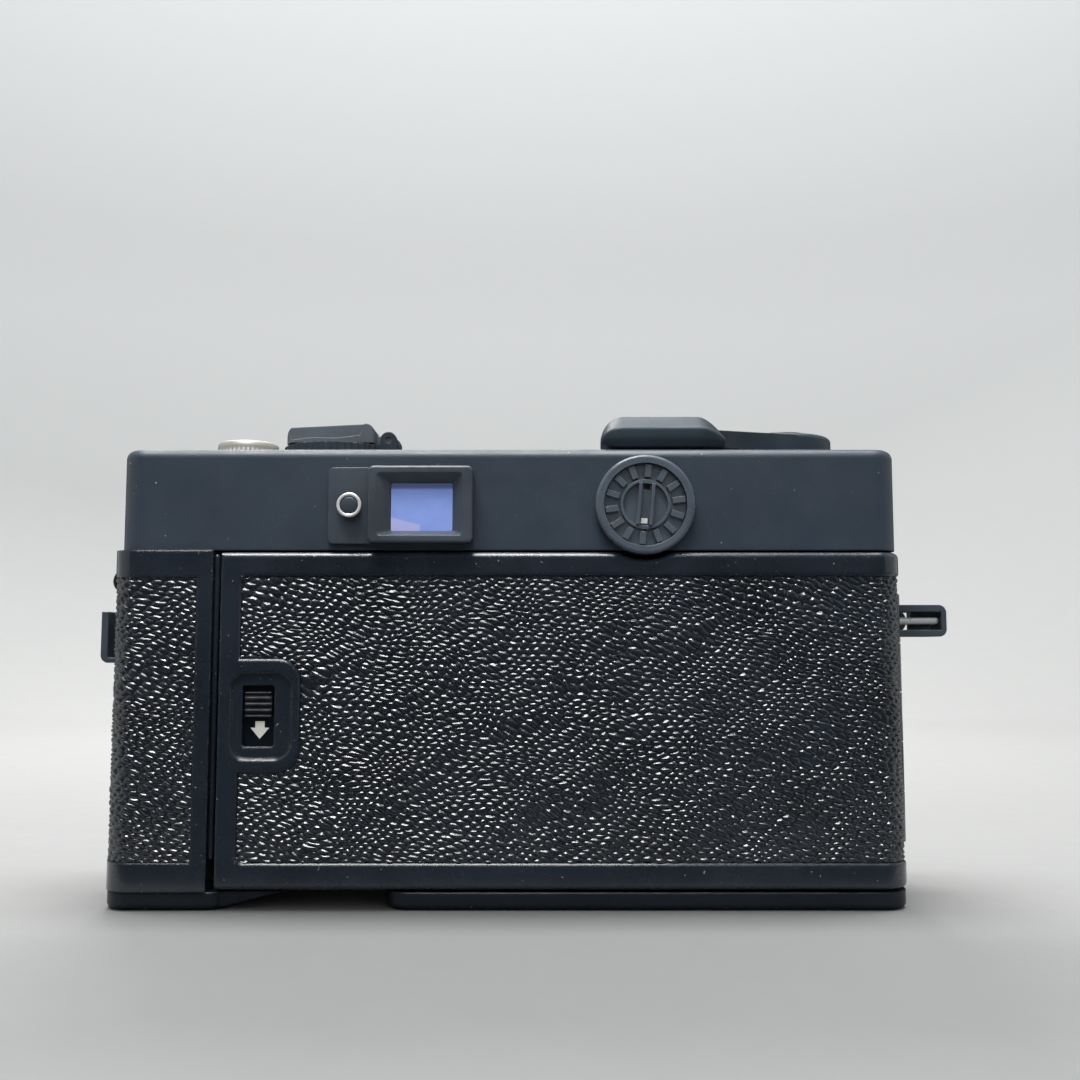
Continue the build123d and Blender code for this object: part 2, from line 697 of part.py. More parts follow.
def battery_cells():
    cells = []
    for index in range(2):
        front = CAP_BACK_Y - 0.2 - (index + 1) * CELL_H
        cells.append(rod_y(BATTERY, (front + 0.05, front + CELL_H), CELL_R))
    return Compound(cells)


def finder_bezel():
    bezel = plate(BEZEL_X, BEZEL_Z, BEZEL_Y, 0.8)
    for x, z in WINDOW_BOXES:
        inner_x = (x[0] + 0.4, x[1] - 0.4)
        inner_z = (z[0] + 0.4, z[1] - 0.4)
        bezel -= slab(inner_x, (-FAR, FAR), inner_z)
    return bezel


def finder_windows():
    panes = [slab(x, (BEZEL_Y[1], BEZEL_Y[1] + 0.9), z) for x, z in WINDOW_BOXES]
    return Compound(panes)


def finder_tunnel():
    """The finder's tube, from the front window to the eyepiece, with its splitter."""
    y = (-13.5, 13.8)
    tunnel = slab((5.0, 21.0), y, (53.2, 64.6))
    tunnel -= slab((6.0, 20.0), (y[0] - 1, y[1] + 1), (54.2, 63.6))
    corners = [(6.0, -2.0), (6.6, -2.0), (20.0, 11.4), (20.0, 12.0), (19.4, 12.0), (6.0, -1.4)]
    splitter = up(Polygon(*corners, align=None), (54.2, 63.6))
    side_port = slab((4.0, 6.0), (2.0, 8.0), (56.0, 62.0))
    return tunnel - side_port + splitter


def rangefinder_mirror():
    """A small mirror on an upright pivot, turned by the focusing cam."""
    arm = rod_z(MIRROR, (53.0, 64.0), 0.9)
    blade = Pos(MIRROR[0], MIRROR[1], 59.0) * Rot(0, 0, 45) * Box(7.0, 1.0, 6.0)
    return arm + blade


def accessory_shoe():
    half = SHOE_W / 2
    flange = slab((-half - 1.4, half + 1.4), (SHOE_Y[0] - 0.5, SHOE_Y[1] + 0.5), (64.9, UNDER))
    shoe = flange + slab((-half, half), SHOE_Y, (UNDER, SHOE_FLOOR_Z))
    slot_top = SHOE_FLOOR_Z + SHOE_SLOT_H
    for side in (-1, 1):
        inner, lip = side * SHOE_SLOT_W / 2, side * SHOE_LIP_GAP / 2
        wall = tuple(sorted((inner, side * half)))
        top = tuple(sorted((lip, side * half)))
        shoe += slab(wall, SHOE_Y, (SHOE_FLOOR_Z, slot_top))
        shoe += slab(top, SHOE_Y, (slot_top, slot_top + SHOE_LIP_T))
    return shoe


# ------------------------------------------------------------ advance lever
def advance_lever():
    """A round hub with an arm that runs along the back edge to the thumb tip."""
    hub = rod_z(SPOOL, LEVER_HUB_Z, LEVER_R)
    hub = fillet(hub.edges().group_by(Axis.Z)[-1], 0.8)
    start, end = SPOOL[0] - 1.0, TIP_X[0] + 6.0
    arm_points = [(start, ARM_Y[0]), (end, ARM_Y[0] + 3.0), (end, 11.0), (start, ARM_Y[1])]
    side_points = [(start, 68.0), (TIP_X[0], ARM_Z[0]), (end, ARM_Z[0])]
    side_points += [(end, ARM_Z[1] + 0.4), (start, LEVER_HUB_Z[1] - 0.4)]
    arm = up(Polygon(*arm_points, align=None), (67.5, 72.0))
    arm = arm & back(Polygon(*side_points, align=None), (0, FAR))
    lever = hub + arm
    return lever - rod_z(SPOOL, (0, FAR), LEVER_SHAFT_R)


def lever_tip():
    """The moulded thumb piece: flat top, sloped inner end, rounded outer end."""
    low, high = TIP_Z
    x0, x1 = TIP_X
    points = [(x0, low + 0.3), (x1 - 0.6, low + 0.3), (x1, low + 2.2), (x1 - 2.0, high - 0.8)]
    points += [(x1 - 3.4, high), (x0 + 4.2, high), (x0, low + 3.2)]
    side = back(Polygon(*points, align=None), TIP_Y)
    plan = [(x0, TIP_Y[0] + 1.2), (x1 - 1.5, TIP_Y[0]), (x1, TIP_Y[0] + 2.5)]
    plan += [(x1, TIP_Y[1] - 2.5), (x1 - 1.5, TIP_Y[1] - 0.3), (x0 + 3, TIP_Y[1]), (x0, TIP_Y[1] - 1)]
    tip = side & up(Polygon(*plan, align=None), (0, FAR))
    y0, y1 = TIP_Y
    section = [(y0, low), (y1 - 1.1, low), (y1 - 0.5, low + 1.7), (y1 - 0.1, low + 1.9)]
    section += [(y1, low + 3.5), (y1 - 3.4, high), (y0, high)]
    tip = tip & across(Polygon(*section, align=None), (-FAR, FAR))
    return tip - advance_lever()


def lever_shaft():
    """From the take-up chamber up through the lever's hub, with a two-hole cap on top."""
    top = LEVER_HUB_Z[1] + 0.1
    cap = rod_z(SPOOL, (top, top + 0.6), LEVER_CAP_R)
    cap = fillet(cap.edges().group_by(Axis.Z)[-1], 0.3)
    for side in (-1, 1):
        cap -= rod_z((SPOOL[0] + side * LEVER_CAP_R * 0.65, SPOOL[1]), (top + 0.3, FAR), 0.5)
    return cap + rod_z(SPOOL, (47.6, top), LEVER_SHAFT_R)


def takeup_spool():
    spool = rod_z(SPOOL, (7.2, 47.0), 5.2)
    for z in ((7.2, 8.4), (45.8, 47.0)):
        spool += rod_z(SPOOL, z, 6.8)
    for index in range(6):
        groove = slab((4.4, 5.6), (-0.6, 0.6), (12.0, 43.0))
        spool -= Pos(SPOOL[0], SPOOL[1], 0) * Rot(0, 0, 60.0 * index) * groove
    return spool + rod_z(SPOOL, (4.2, 7.2), LEVER_SHAFT_R)


def sprocket():
    """Two rings of eight teeth on one core, a perforation pitch apart."""
    core = rod_z(SPROCKET, (7.2, 49.0), 4.2)
    core += rod_z(SPROCKET, (49.0, 51.8), LEVER_SHAFT_R)
    for z in (LENS_Z - 14.2, LENS_Z + 14.2):
        core += rod_z(SPROCKET, (z - 2.0, z + 2.0), SPROCKET_R - 0.6)
        for index in range(8):
            tooth = Pos(SPROCKET_R - 0.5, 0, z) * Box(1.4, 1.0, 1.6)
            core += Pos(SPROCKET[0], SPROCKET[1], 0) * Rot(0, 0, 45.0 * index + 22.5) * tooth
    return core


def counter_disc():
    disc = up(Pos(*COUNTER) * toothed(COUNTER_R, 0.3, 36), (64.1, 64.8))
    return disc + rod_z(COUNTER, (60.0, 64.1), 1.0)


def counter_window():
    return rod_z(COUNTER_WINDOW, (UNDER, TOP + 0.15), COUNTER_WINDOW_R)


# -------------------------------------------------------------------- rewind
def rewind_shaft():
    """A shaft with a two-pronged fork that drives the cassette's spool."""
    shaft = rod_z(CASSETTE, (40.5, REWIND_DISC_Z[1]), REWIND_SHAFT_R)
    return shaft - slab((0, FAR), (-1.0, 1.0), (0, 44.0))


def rewind_sleeve():
    z = (REWIND_SLEEVE_LOW, REWIND_DISC_Z[0] - 0.05)
    return rod_z(CASSETTE, z, REWIND_SLEEVE_R) - rod_z(CASSETTE, z, REWIND_SHAFT_R + FIT)


def rewind_knob():
    """The knurled disc with two cheeks that carry the crank."""
    outline = Pos(*CASSETTE) * toothed(REWIND_R, 0.25, 48)
    disc = up(outline, REWIND_DISC_Z)
    low = REWIND_DISC_Z[0]
    x, z = CRANK_HINGE
    for y in ((2.3, 3.8), (-3.8, -2.3)):
        disc += slab((x - 1.3, x + 4.0), y, (low + 0.6, REWIND_DISC_Z[1]))
        disc += slab((x - 1.3, x + 1.3), y, (low + 0.6, z))
        disc += rod_y((x, z), y, 1.3)
    disc -= slab((0, x + 2.6), (-2.3, 2.3), (0, FAR))
    disc -= rod_y((x, z), (-FAR, FAR), CRANK_PIN_R)
    return disc - rod_z(CASSETTE, (0, FAR), REWIND_SHAFT_R)


def crank_pin():
    return rod_y(CRANK_HINGE, (-3.7, 3.7), CRANK_PIN_R)


def rewind_crank():
    """The fold-out arm: a solid bar, highest at its hinge, with a facet in each side."""
    x, z = CRANK_HINGE
    base, top = REWIND_DISC_Z[1] + 0.3, CRANK_TOP_Z
    points = [(x + 2.1, base), (x + 2.1, top), (x + 16.2, top - CRANK_SLOPE), (x + 16.2, base)]
    outline = Polygon(*points, align=None)
    upper = outline.vertices().sort_by(Axis.Y)[-2:]
    side = back(fillet(upper, CRANK_END_R), (-CRANK_HALF_W, CRANK_HALF_W))
    arm = side & rod_z(CASSETTE, (0, FAR), REWIND_R - 0.2)
    facet = [(x + 3.6, top), (x + 4.4, base + 1.2), (x + 8.0, base + 0.75), (x + 12.0, base + 0.85)]
    facet += [(x + 17.0, base + 0.2), (x + 17.0, top)]
    facet = Polygon(*facet, align=None)
    for y in ((CRANK_HALF_W - CRANK_FACET, FAR), (-FAR, CRANK_FACET - CRANK_HALF_W)):
        arm -= back(facet, y)
    arm += slab((x, x + 4.4), (-2.0, 2.0), (z - 0.55, z + 0.9))
    arm += rod_y((x, z), (-2.0, 2.0), 0.95)
    return arm - rod_y((x, z), (-FAR, FAR), CRANK_PIN_R + FIT)


# ------------------------------------------------------- other top controls
def film_speed_dial():
    low, high = SPEED_DIAL_Z
    knurl = up(Pos(*SPEED_DIAL) * toothed(SPEED_DIAL_R, 0.3, 40), (low, high))
    cone = turned_z(
        SPEED_DIAL,
        [(0, low), (SPEED_DIAL_R, low), (SPEED_DIAL_R, high - 1.3), (3.7, high), (0, high)],
    )
    dial = knurl & cone
    dial += rod_z(SPEED_DIAL, (60.0, low), 1.5)
    return dial - slab((SPEED_DIAL[0] - 0.2, SPEED_DIAL[0] + 0.2), (-11.4, -9.4), (high - 0.3, FAR))


def shutter_button():
    button = rod_z(RELEASE, (65.0, RELEASE_TOP_Z), RELEASE_R - 0.2 - FIT)
    button = fillet(button.edges().group_by(Axis.Z)[-1], 0.5)
    button += rod_z(RELEASE, (58.0, 65.0), 1.5)
    return button - rod_z(RELEASE, (RELEASE_TOP_Z - CABLE_DEPTH, FAR), CABLE_R)


def shutter_collar():
    z = (UNDER, TOP + 1.0)
    collar = rod_z(RELEASE, z, RELEASE_R) + rod_z(RELEASE, (TOP, z[1]), 4.6)
    collar = fillet(collar.edges().group_by(Axis.Z)[-1], 0.4)
    return collar - rod_z(RELEASE, (0, FAR), RELEASE_R - 0.2)


# ---------------------------------------------------------------------- lens
def lens_plate():
    half_x, half_z = LENS_PLATE_HALF
    sheet = plate(
        (LENS_X - half_x, LENS_X + half_x), (LENS_Z - half_z, LENS_Z + half_z), LENS_PLATE_Y, 3.0
    )
    sheet = fillet(sheet.edges().group_by(Axis.Y)[0], 0.5)
    return sheet - rod_y((LENS_X, LENS_Z), (-FAR, 0), SLEEVE_R)


def lens_barrel():
    """The fixed base ring and the sleeve that everything else turns on."""
    back_y, front_y = LENS_PLATE_Y[0], FOCUS_Y[1] + 0.3
    return turned(
        [
            (SLEEVE_BORE_R, SLEEVE_Y[1]),
            (SLEEVE_R, SLEEVE_Y[1]),
            (SLEEVE_R, back_y),
            (BARREL_R, back_y),
            (BARREL_R, front_y + 0.8),
            (BARREL_R - 0.8, front_y),
            (SLEEVE_R, front_y),
            (SLEEVE_R, SLEEVE_Y[0]),
            (SLEEVE_BORE_R, SLEEVE_Y[0]),
        ]
    )


def grip_ring(y, radius, teeth, depth):
    outline = toothed(radius, depth, teeth) - Circle(SLEEVE_R + FIT)
    return back(Pos(LENS_X, LENS_Z) * outline, y)


def focus_ring():
    ring = grip_ring(FOCUS_Y, FOCUS_R, 60, 0.5)
    lobe = Box(3.6, span(FOCUS_Y) - 1.2, 9.0)
    ring += Pos(LENS_X + FOCUS_R + 0.8, mid(FOCUS_Y), LENS_Z) * lobe
    return ring


def exposure_ring():
    return grip_ring(EXPOSURE_Y, EXPOSURE_R, 72, 0.4)


def focus_tube():
    """The sliding tube of the focusing helicoid, which carries the front glass."""
    front, rear = TUBE_Y
    return turned(
        [
            (TUBE_R, rear),
            (TUBE_R, front),
            (LENS_R, front + 1.2),
            (LENS_R, front + 3.6),
            (TUBE_R - 2.0, front + 5.0),
            (TUBE_R - 2.0, rear),
        ]
    )


def front_ring():
    """The rim with the filter thread and the plain sloped face round the glass."""
    front, rear = FRONT_Y
    thread_end = front + FILTER_LENGTH
    return turned(
        [
            (TUBE_R, rear),
            (FRONT_R, rear),
            (FRONT_R, front + 0.5),
            (FRONT_R - 0.5, front),
            (FILTER_R, front),
            (FILTER_R, thread_end),
            (20.0, thread_end + 0.1),
            (LENS_R + 0.8, TUBE_Y[0] + 0.4),
            (LENS_R + 0.8, TUBE_Y[0] + 1.0),
            (TUBE_R, TUBE_Y[0]),
        ]
    )


def lens_shape(y_front, y_back, radius, bulge_front, bulge_back):
    """A lens: two domed faces on a cylinder."""
    glass = rod_y((LENS_X, LENS_Z), (y_front - bulge_front, y_back + bulge_back), radius)
    for y, bulge, side in ((y_front, bulge_front, 1), (y_back, bulge_back, -1)):
        ball_r = (radius**2 + bulge**2) / (2 * bulge)
        centre_y = y - side * bulge + side * ball_r
        glass = glass & Pos(LENS_X, centre_y, LENS_Z) * Sphere(ball_r)
    return glass


def front_lens():
    return lens_shape(TUBE_Y[0] + 1.7, TUBE_Y[0] + 3.3, LENS_R, 1.4, 0.5)


def shutter_housing():
    """The disc that carries the blades' pins, the aperture and the rear glass."""
    axis = (LENS_X, LENS_Z)
    housing = ring_y(axis, HOUSING_Y, SLEEVE_BORE_R, REAR_LENS_R)
    front = (HOUSING_Y[0] - 0.4, HOUSING_Y[0])
    housing += ring_y(axis, front, SLEEVE_BORE_R, APERTURE_R)
    for side in (-1, 1):
        pin = (LENS_X + side * BLADE_PIVOT, LENS_Z)
        housing += rod_y(pin, (HOUSING_Y[0] - 1.6, front[0]), BLADE_PIN_R)
    return housing


def rear_lens():
    return lens_shape(HOUSING_Y[0] + 0.4, HOUSING_Y[0] + 1.4, REAR_LENS_R, 0.5, 0.5)


def shutter_blade(side, y):
    """A leaf that covers the aperture and swings aside about a pin."""
    leaf = Pos(LENS_X, LENS_Z) * Circle(BLADE_R)
    root = LENS_X + side * BLADE_PIVOT
    stalk = Pos(mid((LENS_X, root)), LENS_Z) * Rectangle(BLADE_PIVOT, 3.0)
    sketch = leaf + stalk + Pos(root, LENS_Z) * Circle(1.8)
    return back(sketch - Pos(root, LENS_Z) * Circle(BLADE_PIN_R + FIT), y)


def self_timer_lever():
    x, z = TIMER
    lever = rod_y(TIMER, (-18.4, -15.7), 3.4)
    lever = fillet(lever.edges().group_by(Axis.Y)[0], 0.5)
    arm = Pos(x, z - 6.0) * RectangleRounded(4.6, 12.0, 1.8)
    lever += back(arm, (-18.0, -16.2))
    return lever + rod_y(TIMER, (-15.7, -14.2), TIMER_STEM_R)


# ------------------------------------------------------------ strap fittings
def lug(side, z):
    """A fixed tab with an eye, standing out of the side of the case."""
    wall = CASE_X[1] if side > 0 else CASE_X[0]
    pivot = LUG_LEFT[0] if side > 0 else LUG_RIGHT[0]
    x = tuple(sorted((wall - side * 0.7, pivot)))
    tab = slab(x, (-LUG_T / 2, LUG_T / 2), (z - 1.9, z + 1.9))
    tab += rod_y((pivot, z), (-LUG_T / 2, LUG_T / 2), 1.9)
    pad = slab(tuple(sorted((wall - side * 0.7, wall))), (-3.0, 3.0), (z - 3.0, z + 3.0))
    return tab + pad - rod_y((pivot, z), (-FAR, FAR), EYE_R)


def strap_lugs():
    left = lug(1, LUG_LEFT[1])
    right = lug(-1, LUG_RIGHT[1])
    return Compound([left & slab((0, FAR), (-FAR, FAR), (0, 51.0)), right])


def ring_at(pivot, angle, shape):
    """Place a shape drawn along +X from the eye at a lug, turned about Y."""
    return Pos(pivot[0], 0, pivot[1]) * Rot(0, angle, 0) * shape


def strap_ring():
    """A flat wire loop along +X: the first bar passes through the lug's eye."""
    half, wire = RING_HALF_W, WIRE_R
    eye_bar = rod_y((0, 0), (-half, half), wire)
    far_bar = rod_y((RING_LENGTH, 0), (-half, half), wire)
    ring = eye_bar + far_bar
    for side in (-1, 1):
        ring += rod_x((side * half, 0), (0, RING_LENGTH), wire)
        for x in (0, RING_LENGTH):
            ring += Pos(x, side * half, 0) * Sphere(wire)
    return ring


def ring_guard(start):
    """The plastic sleeve clipped over the ring, open at its inner end."""
    x = (start, start + GUARD_LENGTH)
    guard = slab(x, (-GUARD_HALF[0], GUARD_HALF[0]), (-GUARD_HALF[1], GUARD_HALF[1]))
    guard = fillet(guard.edges().filter_by(Axis.Y).group_by(Axis.X)[-1], 1.2)
    slot = 2.6 * WIRE_R
    guard -= slab((x[0] - 1, x[1] - 0.8), (-FAR, FAR), (-slot, slot))
    guard -= slab((-1.0, LUG_REACH), (-1.3, 1.3), (-FAR, FAR))
    web = (max(start, RING_LENGTH - 1.9), RING_LENGTH - WIRE_R)
    return guard + slab(web, (-1.2, 1.2), (-slot, slot))


# -------------------------------------------------------------------- export
NODES = {
    "body_shell": body_shell(),
    "body_leather": body_leather(),
    "casting_takeup": casting((CAST_X[0], CAST_SPLITS[0])),
    "casting_gate": casting(CAST_SPLITS),
    "casting_cassette": casting((CAST_SPLITS[1], CAST_X[1])),
    "bottom_cover": bottom_cover(),
    "base_screws": base_screws(),
    "tripod_bush": tripod_bush(),
    "rewind_release": rewind_release(),
    "back_door": back_door(),
    "door_leather": door_leather(),
    "hinge_pin": hinge_pin(),
    "door_catch": door_catch(),
    "pressure_plate": pressure_plate(),
    "plate_spring": plate_spring(),
    "door_seals": door_seals(),
    "top_cover": top_cover(),
    "viewfinder_plate": viewfinder_plate(),
    "eyepiece_glass": eyepiece_glass(),
    "battery_check_button": battery_check_button(),
    "battery_chamber": battery_chamber(),
    "battery_cap": battery_cap(),
    "battery_cells": battery_cells(),
    "finder_bezel": finder_bezel(),
    "finder_windows": finder_windows(),
    "finder_tunnel": finder_tunnel(),
    "rangefinder_mirror": rangefinder_mirror(),
    "accessory_shoe": accessory_shoe(),
    "advance_lever": advance_lever(),
    "lever_tip": lever_tip(),
    "lever_shaft": lever_shaft(),
    "takeup_spool": takeup_spool(),
    "sprocket": sprocket(),
    "counter_disc": counter_disc(),
    "counter_window": counter_window(),
    "rewind_shaft": rewind_shaft(),
    "rewind_sleeve": rewind_sleeve(),
    "rewind_knob": rewind_knob(),
    "crank_pin": crank_pin(),
    "rewind_crank": rewind_crank(),
    "film_speed_dial": film_speed_dial(),
    "shutter_button": shutter_button(),
    "shutter_collar": shutter_collar(),
    "lens_plate": lens_plate(),
    "lens_barrel": lens_barrel(),
    "focus_ring": focus_ring(),
    "exposure_ring": exposure_ring(),
    "focus_tube": focus_tube(),
    "front_ring": front_ring(),
    "front_lens": front_lens(),
    "shutter_housing": shutter_housing(),
    "rear_lens": rear_lens(),
    "shutter_blade_left": shutter_blade(1, (-17.5, -17.3)),
    "shutter_blade_right": shutter_blade(-1, (-18.0, -17.8)),
    "self_timer_lever": self_timer_lever(),
    "strap_lugs": strap_lugs(),
    "strap_ring_left": ring_at(LUG_LEFT, LEFT_ANGLE, strap_ring()),
    "strap_ring_right": ring_at(LUG_RIGHT, RIGHT_ANGLE, strap_ring()),
    "ring_guard_left": ring_at(LUG_LEFT, LEFT_ANGLE, ring_guard(LEFT_GUARD_START)),
    "ring_guard_right": ring_at(LUG_RIGHT, RIGHT_ANGLE, ring_guard(RIGHT_GUARD_START)),
}

for name, shape in NODES.items():
    export_step(shape, f"parts/{name}.step")
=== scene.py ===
import json
import math

import bpy
import numpy as np
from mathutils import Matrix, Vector


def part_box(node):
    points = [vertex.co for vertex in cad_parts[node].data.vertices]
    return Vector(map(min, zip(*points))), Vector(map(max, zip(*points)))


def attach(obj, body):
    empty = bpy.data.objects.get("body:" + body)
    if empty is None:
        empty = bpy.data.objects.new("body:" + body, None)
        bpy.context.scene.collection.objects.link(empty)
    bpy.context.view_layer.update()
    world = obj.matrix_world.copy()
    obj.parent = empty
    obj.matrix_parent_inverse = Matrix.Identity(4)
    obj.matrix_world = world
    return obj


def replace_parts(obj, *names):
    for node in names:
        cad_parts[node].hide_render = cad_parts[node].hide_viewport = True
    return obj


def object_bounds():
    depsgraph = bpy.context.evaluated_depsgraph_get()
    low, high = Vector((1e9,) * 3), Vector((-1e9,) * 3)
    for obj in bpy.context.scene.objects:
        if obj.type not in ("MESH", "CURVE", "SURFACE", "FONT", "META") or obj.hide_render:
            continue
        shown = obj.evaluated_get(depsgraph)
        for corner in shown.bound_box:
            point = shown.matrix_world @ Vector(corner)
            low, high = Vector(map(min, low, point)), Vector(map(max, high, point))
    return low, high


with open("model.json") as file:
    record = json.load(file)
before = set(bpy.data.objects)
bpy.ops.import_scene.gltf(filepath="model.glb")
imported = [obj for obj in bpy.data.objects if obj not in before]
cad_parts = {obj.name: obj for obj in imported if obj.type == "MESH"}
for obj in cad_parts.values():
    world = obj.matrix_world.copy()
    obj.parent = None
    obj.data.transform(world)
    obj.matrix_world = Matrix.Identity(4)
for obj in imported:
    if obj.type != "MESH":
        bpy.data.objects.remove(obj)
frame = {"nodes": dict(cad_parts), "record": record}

MM = 0.001
CAD_LOW, CAD_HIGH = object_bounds()
NODES = frame["nodes"]


def box_mm(node):
    """A CAD node's lowest and highest corner in millimetres."""
    low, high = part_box(node)
    return [v / MM for v in low], [v / MM for v in high]


# ----------------------------------------------------------------- materials
# Noise scales, in repeats per metre.
CLOUD_SCALE = 90.0
SMEAR_SCALE = 220.0
WEAR_SCALE = 600.0
SPECK_SCALE = 1900.0
DUST_TONE = (0.45, 0.45, 0.43)
COAT_ROUGHNESS = 0.12
WEAR_RADIUS = 0.0003
BEVEL_SAMPLES = 4


def new_material(name):
    """A material with its nodes, links and principled shader."""
    material = bpy.data.materials.new(name)
    material.use_nodes = True
    nodes, links = material.node_tree.nodes, material.node_tree.links
    return material, nodes, links, nodes["Principled BSDF"]


def noise_node(nodes, links, coords, scale, detail=3.0, rough=0.55, stretch=None):
    """Noise in object space; stretch squeezes it along the axes."""
    source = coords
    if stretch:
        mapping = nodes.new("ShaderNodeMapping")
        mapping.inputs["Scale"].default_value = stretch
        links.new(coords, mapping.inputs["Vector"])
        source = mapping.outputs["Vector"]
    noise = nodes.new("ShaderNodeTexNoise")
    noise.inputs["Scale"].default_value = scale
    noise.inputs["Detail"].default_value = detail
    noise.inputs["Roughness"].default_value = rough
    links.new(source, noise.inputs["Vector"])
    return noise.outputs["Fac"]


def ranged(nodes, links, value, low, high, out_low, out_high):
    """A value mapped from one range to another, clamped at both ends."""
    node = nodes.new("ShaderNodeMapRange")
    node.inputs["From Min"].default_value = low
    node.inputs["From Max"].default_value = high
    node.inputs["To Min"].default_value = out_low
    node.inputs["To Max"].default_value = out_high
    links.new(value, node.inputs["Value"])
    return node.outputs["Result"]


def mixed(nodes, links, factor, first, second):
    """Two colours mixed; each is a colour tuple or a socket."""
    node = nodes.new("ShaderNodeMix")
    node.data_type = "RGBA"
    links.new(factor, node.inputs["Factor"])
    for value, socket in ((first, node.inputs[6]), (second, node.inputs[7])):
        if isinstance(value, tuple):
            socket.default_value = (*value, 1.0)
        else:
            links.new(value, socket)
    return node.outputs[2]


def rounded_normal(nodes, radius):
    """Normals that turn smoothly over every edge."""
    bevel = nodes.new("ShaderNodeBevel")
    bevel.samples = BEVEL_SAMPLES
    bevel.inputs["Radius"].default_value = radius
    return bevel.outputs["Normal"]


def edge_mask(nodes, links):
    """One near a convex or concave edge and nothing on a flat face."""
    geometry = nodes.new("ShaderNodeNewGeometry")
    dot = nodes.new("ShaderNodeVectorMath")
    dot.operation = "DOT_PRODUCT"
    links.new(rounded_normal(nodes, WEAR_RADIUS), dot.inputs[0])
    links.new(geometry.outputs["Normal"], dot.inputs[1])
    return ranged(nodes, links, dot.outputs["Value"], 0.995, 0.8, 0.0, 1.0)


def surface(
    name,
    colour,
    roughness,
    metallic=0.0,
    specular=0.5,
    mottle=0.25,
    grain=(2500.0, 0.03),
    wear=None,
    dust=0.0,
    edge=0.00018,
    coat=0.0,
    stretch=None,
):
    """A finish with mottled colour, uneven roughness, fine grain, worn edges and dust.

    Colours are linear, roughness is a low and a high value, grain is a noise
    scale and a depth in millimetres, and edge is a rounding radius in metres.
    """
    material, nodes, links, shader = new_material(name)
    shader.inputs["Metallic"].default_value = metallic
    shader.inputs["Specular IOR Level"].default_value = specular
    shader.inputs["Coat Weight"].default_value = coat
    shader.inputs["Coat Roughness"].default_value = COAT_ROUGHNESS
    coords = nodes.new("ShaderNodeTexCoord").outputs["Object"]
    cloud = noise_node(nodes, links, coords, CLOUD_SCALE, 4.0)
    darker = tuple(c * (1.0 - mottle) for c in colour)
    lighter = tuple(c * (1.0 + mottle) for c in colour)
    tone = mixed(nodes, links, ranged(nodes, links, cloud, 0.3, 0.7, 0, 1), darker, lighter)
    if wear:
        patchy = noise_node(nodes, links, coords, WEAR_SCALE, 4.0, 0.7)
        both = nodes.new("ShaderNodeMath")
        both.operation = "MULTIPLY"
        links.new(edge_mask(nodes, links), both.inputs[0])
        links.new(ranged(nodes, links, patchy, 0.45, 0.7, 0.0, 1.0), both.inputs[1])
        tone = mixed(nodes, links, both.outputs[0], tone, wear)
    if dust:
        specks = noise_node(nodes, links, coords, SPECK_SCALE, 1.0)
        tone = mixed(nodes, links, ranged(nodes, links, specks, 0.77, 0.8, 0.0, dust), tone, DUST_TONE)
    links.new(tone, shader.inputs["Base Color"])
    smear = noise_node(nodes, links, coords, SMEAR_SCALE, 5.0, 0.65)
    low, high = roughness
    links.new(ranged(nodes, links, smear, 0.3, 0.7, low, high), shader.inputs["Roughness"])
    scale, strength = grain
    fine = noise_node(nodes, links, coords, scale, 2.0, 0.5, stretch)
    bump = nodes.new("ShaderNodeBump")
    bump.inputs["Strength"].default_value = 1.0
    bump.inputs["Distance"].default_value = strength * MM
    links.new(fine, bump.inputs["Height"])
    if edge:
        links.new(rounded_normal(nodes, edge), bump.inputs["Normal"])
    links.new(bump.outputs["Normal"], shader.inputs["Normal"])
    return material


WORN = (0.06, 0.065, 0.07)
# The blue cast of this paint stands in for the sky's bluish reflection on black: painted reflection over
# the paint's own near-black tone.
SATIN_PAINT = surface(
    "satin_paint", (0.0195, 0.0285, 0.0418), (0.4, 0.54),
    mottle=0.09, grain=(4200.0, 0.02), wear=WORN, dust=0.6, edge=0.0004,
)
# The blue cast of this lacquer is likewise painted reflection of the sky over its own near-black tone.
LACQUER = surface(
    "lacquer", (0.0098, 0.0136, 0.0196), (0.2, 0.32),
    grain=(3500.0, 0.005), wear=WORN, dust=0.4, edge=0.0006, coat=0.5,
)
# A darker copy of the lacquer: painted shade for the dark under the case and in the catch's recess.
SHADED_LACQUER = surface(
    "lacquer_painted_shade", (0.004, 0.006, 0.0095), (0.3, 0.42),
    specular=0.3, grain=(3500.0, 0.006), wear=WORN, dust=0.4, edge=0.0005,
)
PLASTIC = surface(
    "plastic", (0.034, 0.0425, 0.054), (0.3, 0.44),
    grain=(4200.0, 0.012), wear=WORN, edge=0.0003,
)
LEVER_PLASTIC = surface(
    "lever_plastic", (0.0196, 0.0273, 0.0364), (0.36, 0.52),
    specular=0.28, grain=(3800.0, 0.015), wear=(0.1, 0.11, 0.11),
)
CRANK_PLASTIC = surface(
    "crank_plastic", (0.063, 0.076, 0.089), (0.34, 0.5),
    grain=(3800.0, 0.015), wear=(0.2, 0.21, 0.21),
)
CAP_PLASTIC = surface(
    "cap_plastic", (0.05, 0.062, 0.077), (0.24, 0.38),
    grain=(4500.0, 0.014), wear=(0.13, 0.13, 0.13),
)
BLACK_METAL = surface(
    "black_metal", (0.02, 0.021, 0.024), (0.3, 0.42),
    metallic=0.3, grain=(3000.0, 0.008), wear=(0.2, 0.2, 0.2),
)
CHROME = surface(
    "chrome", (0.78, 0.78, 0.77), (0.08, 0.2), metallic=1.0, mottle=0.08, grain=(900.0, 0.004)
)
CHAMPAGNE = surface(
    "champagne", (0.25, 0.243, 0.215), (0.34, 0.48),
    metallic=0.3, mottle=0.1, grain=(2600.0, 0.008), wear=(0.25, 0.24, 0.2),
)
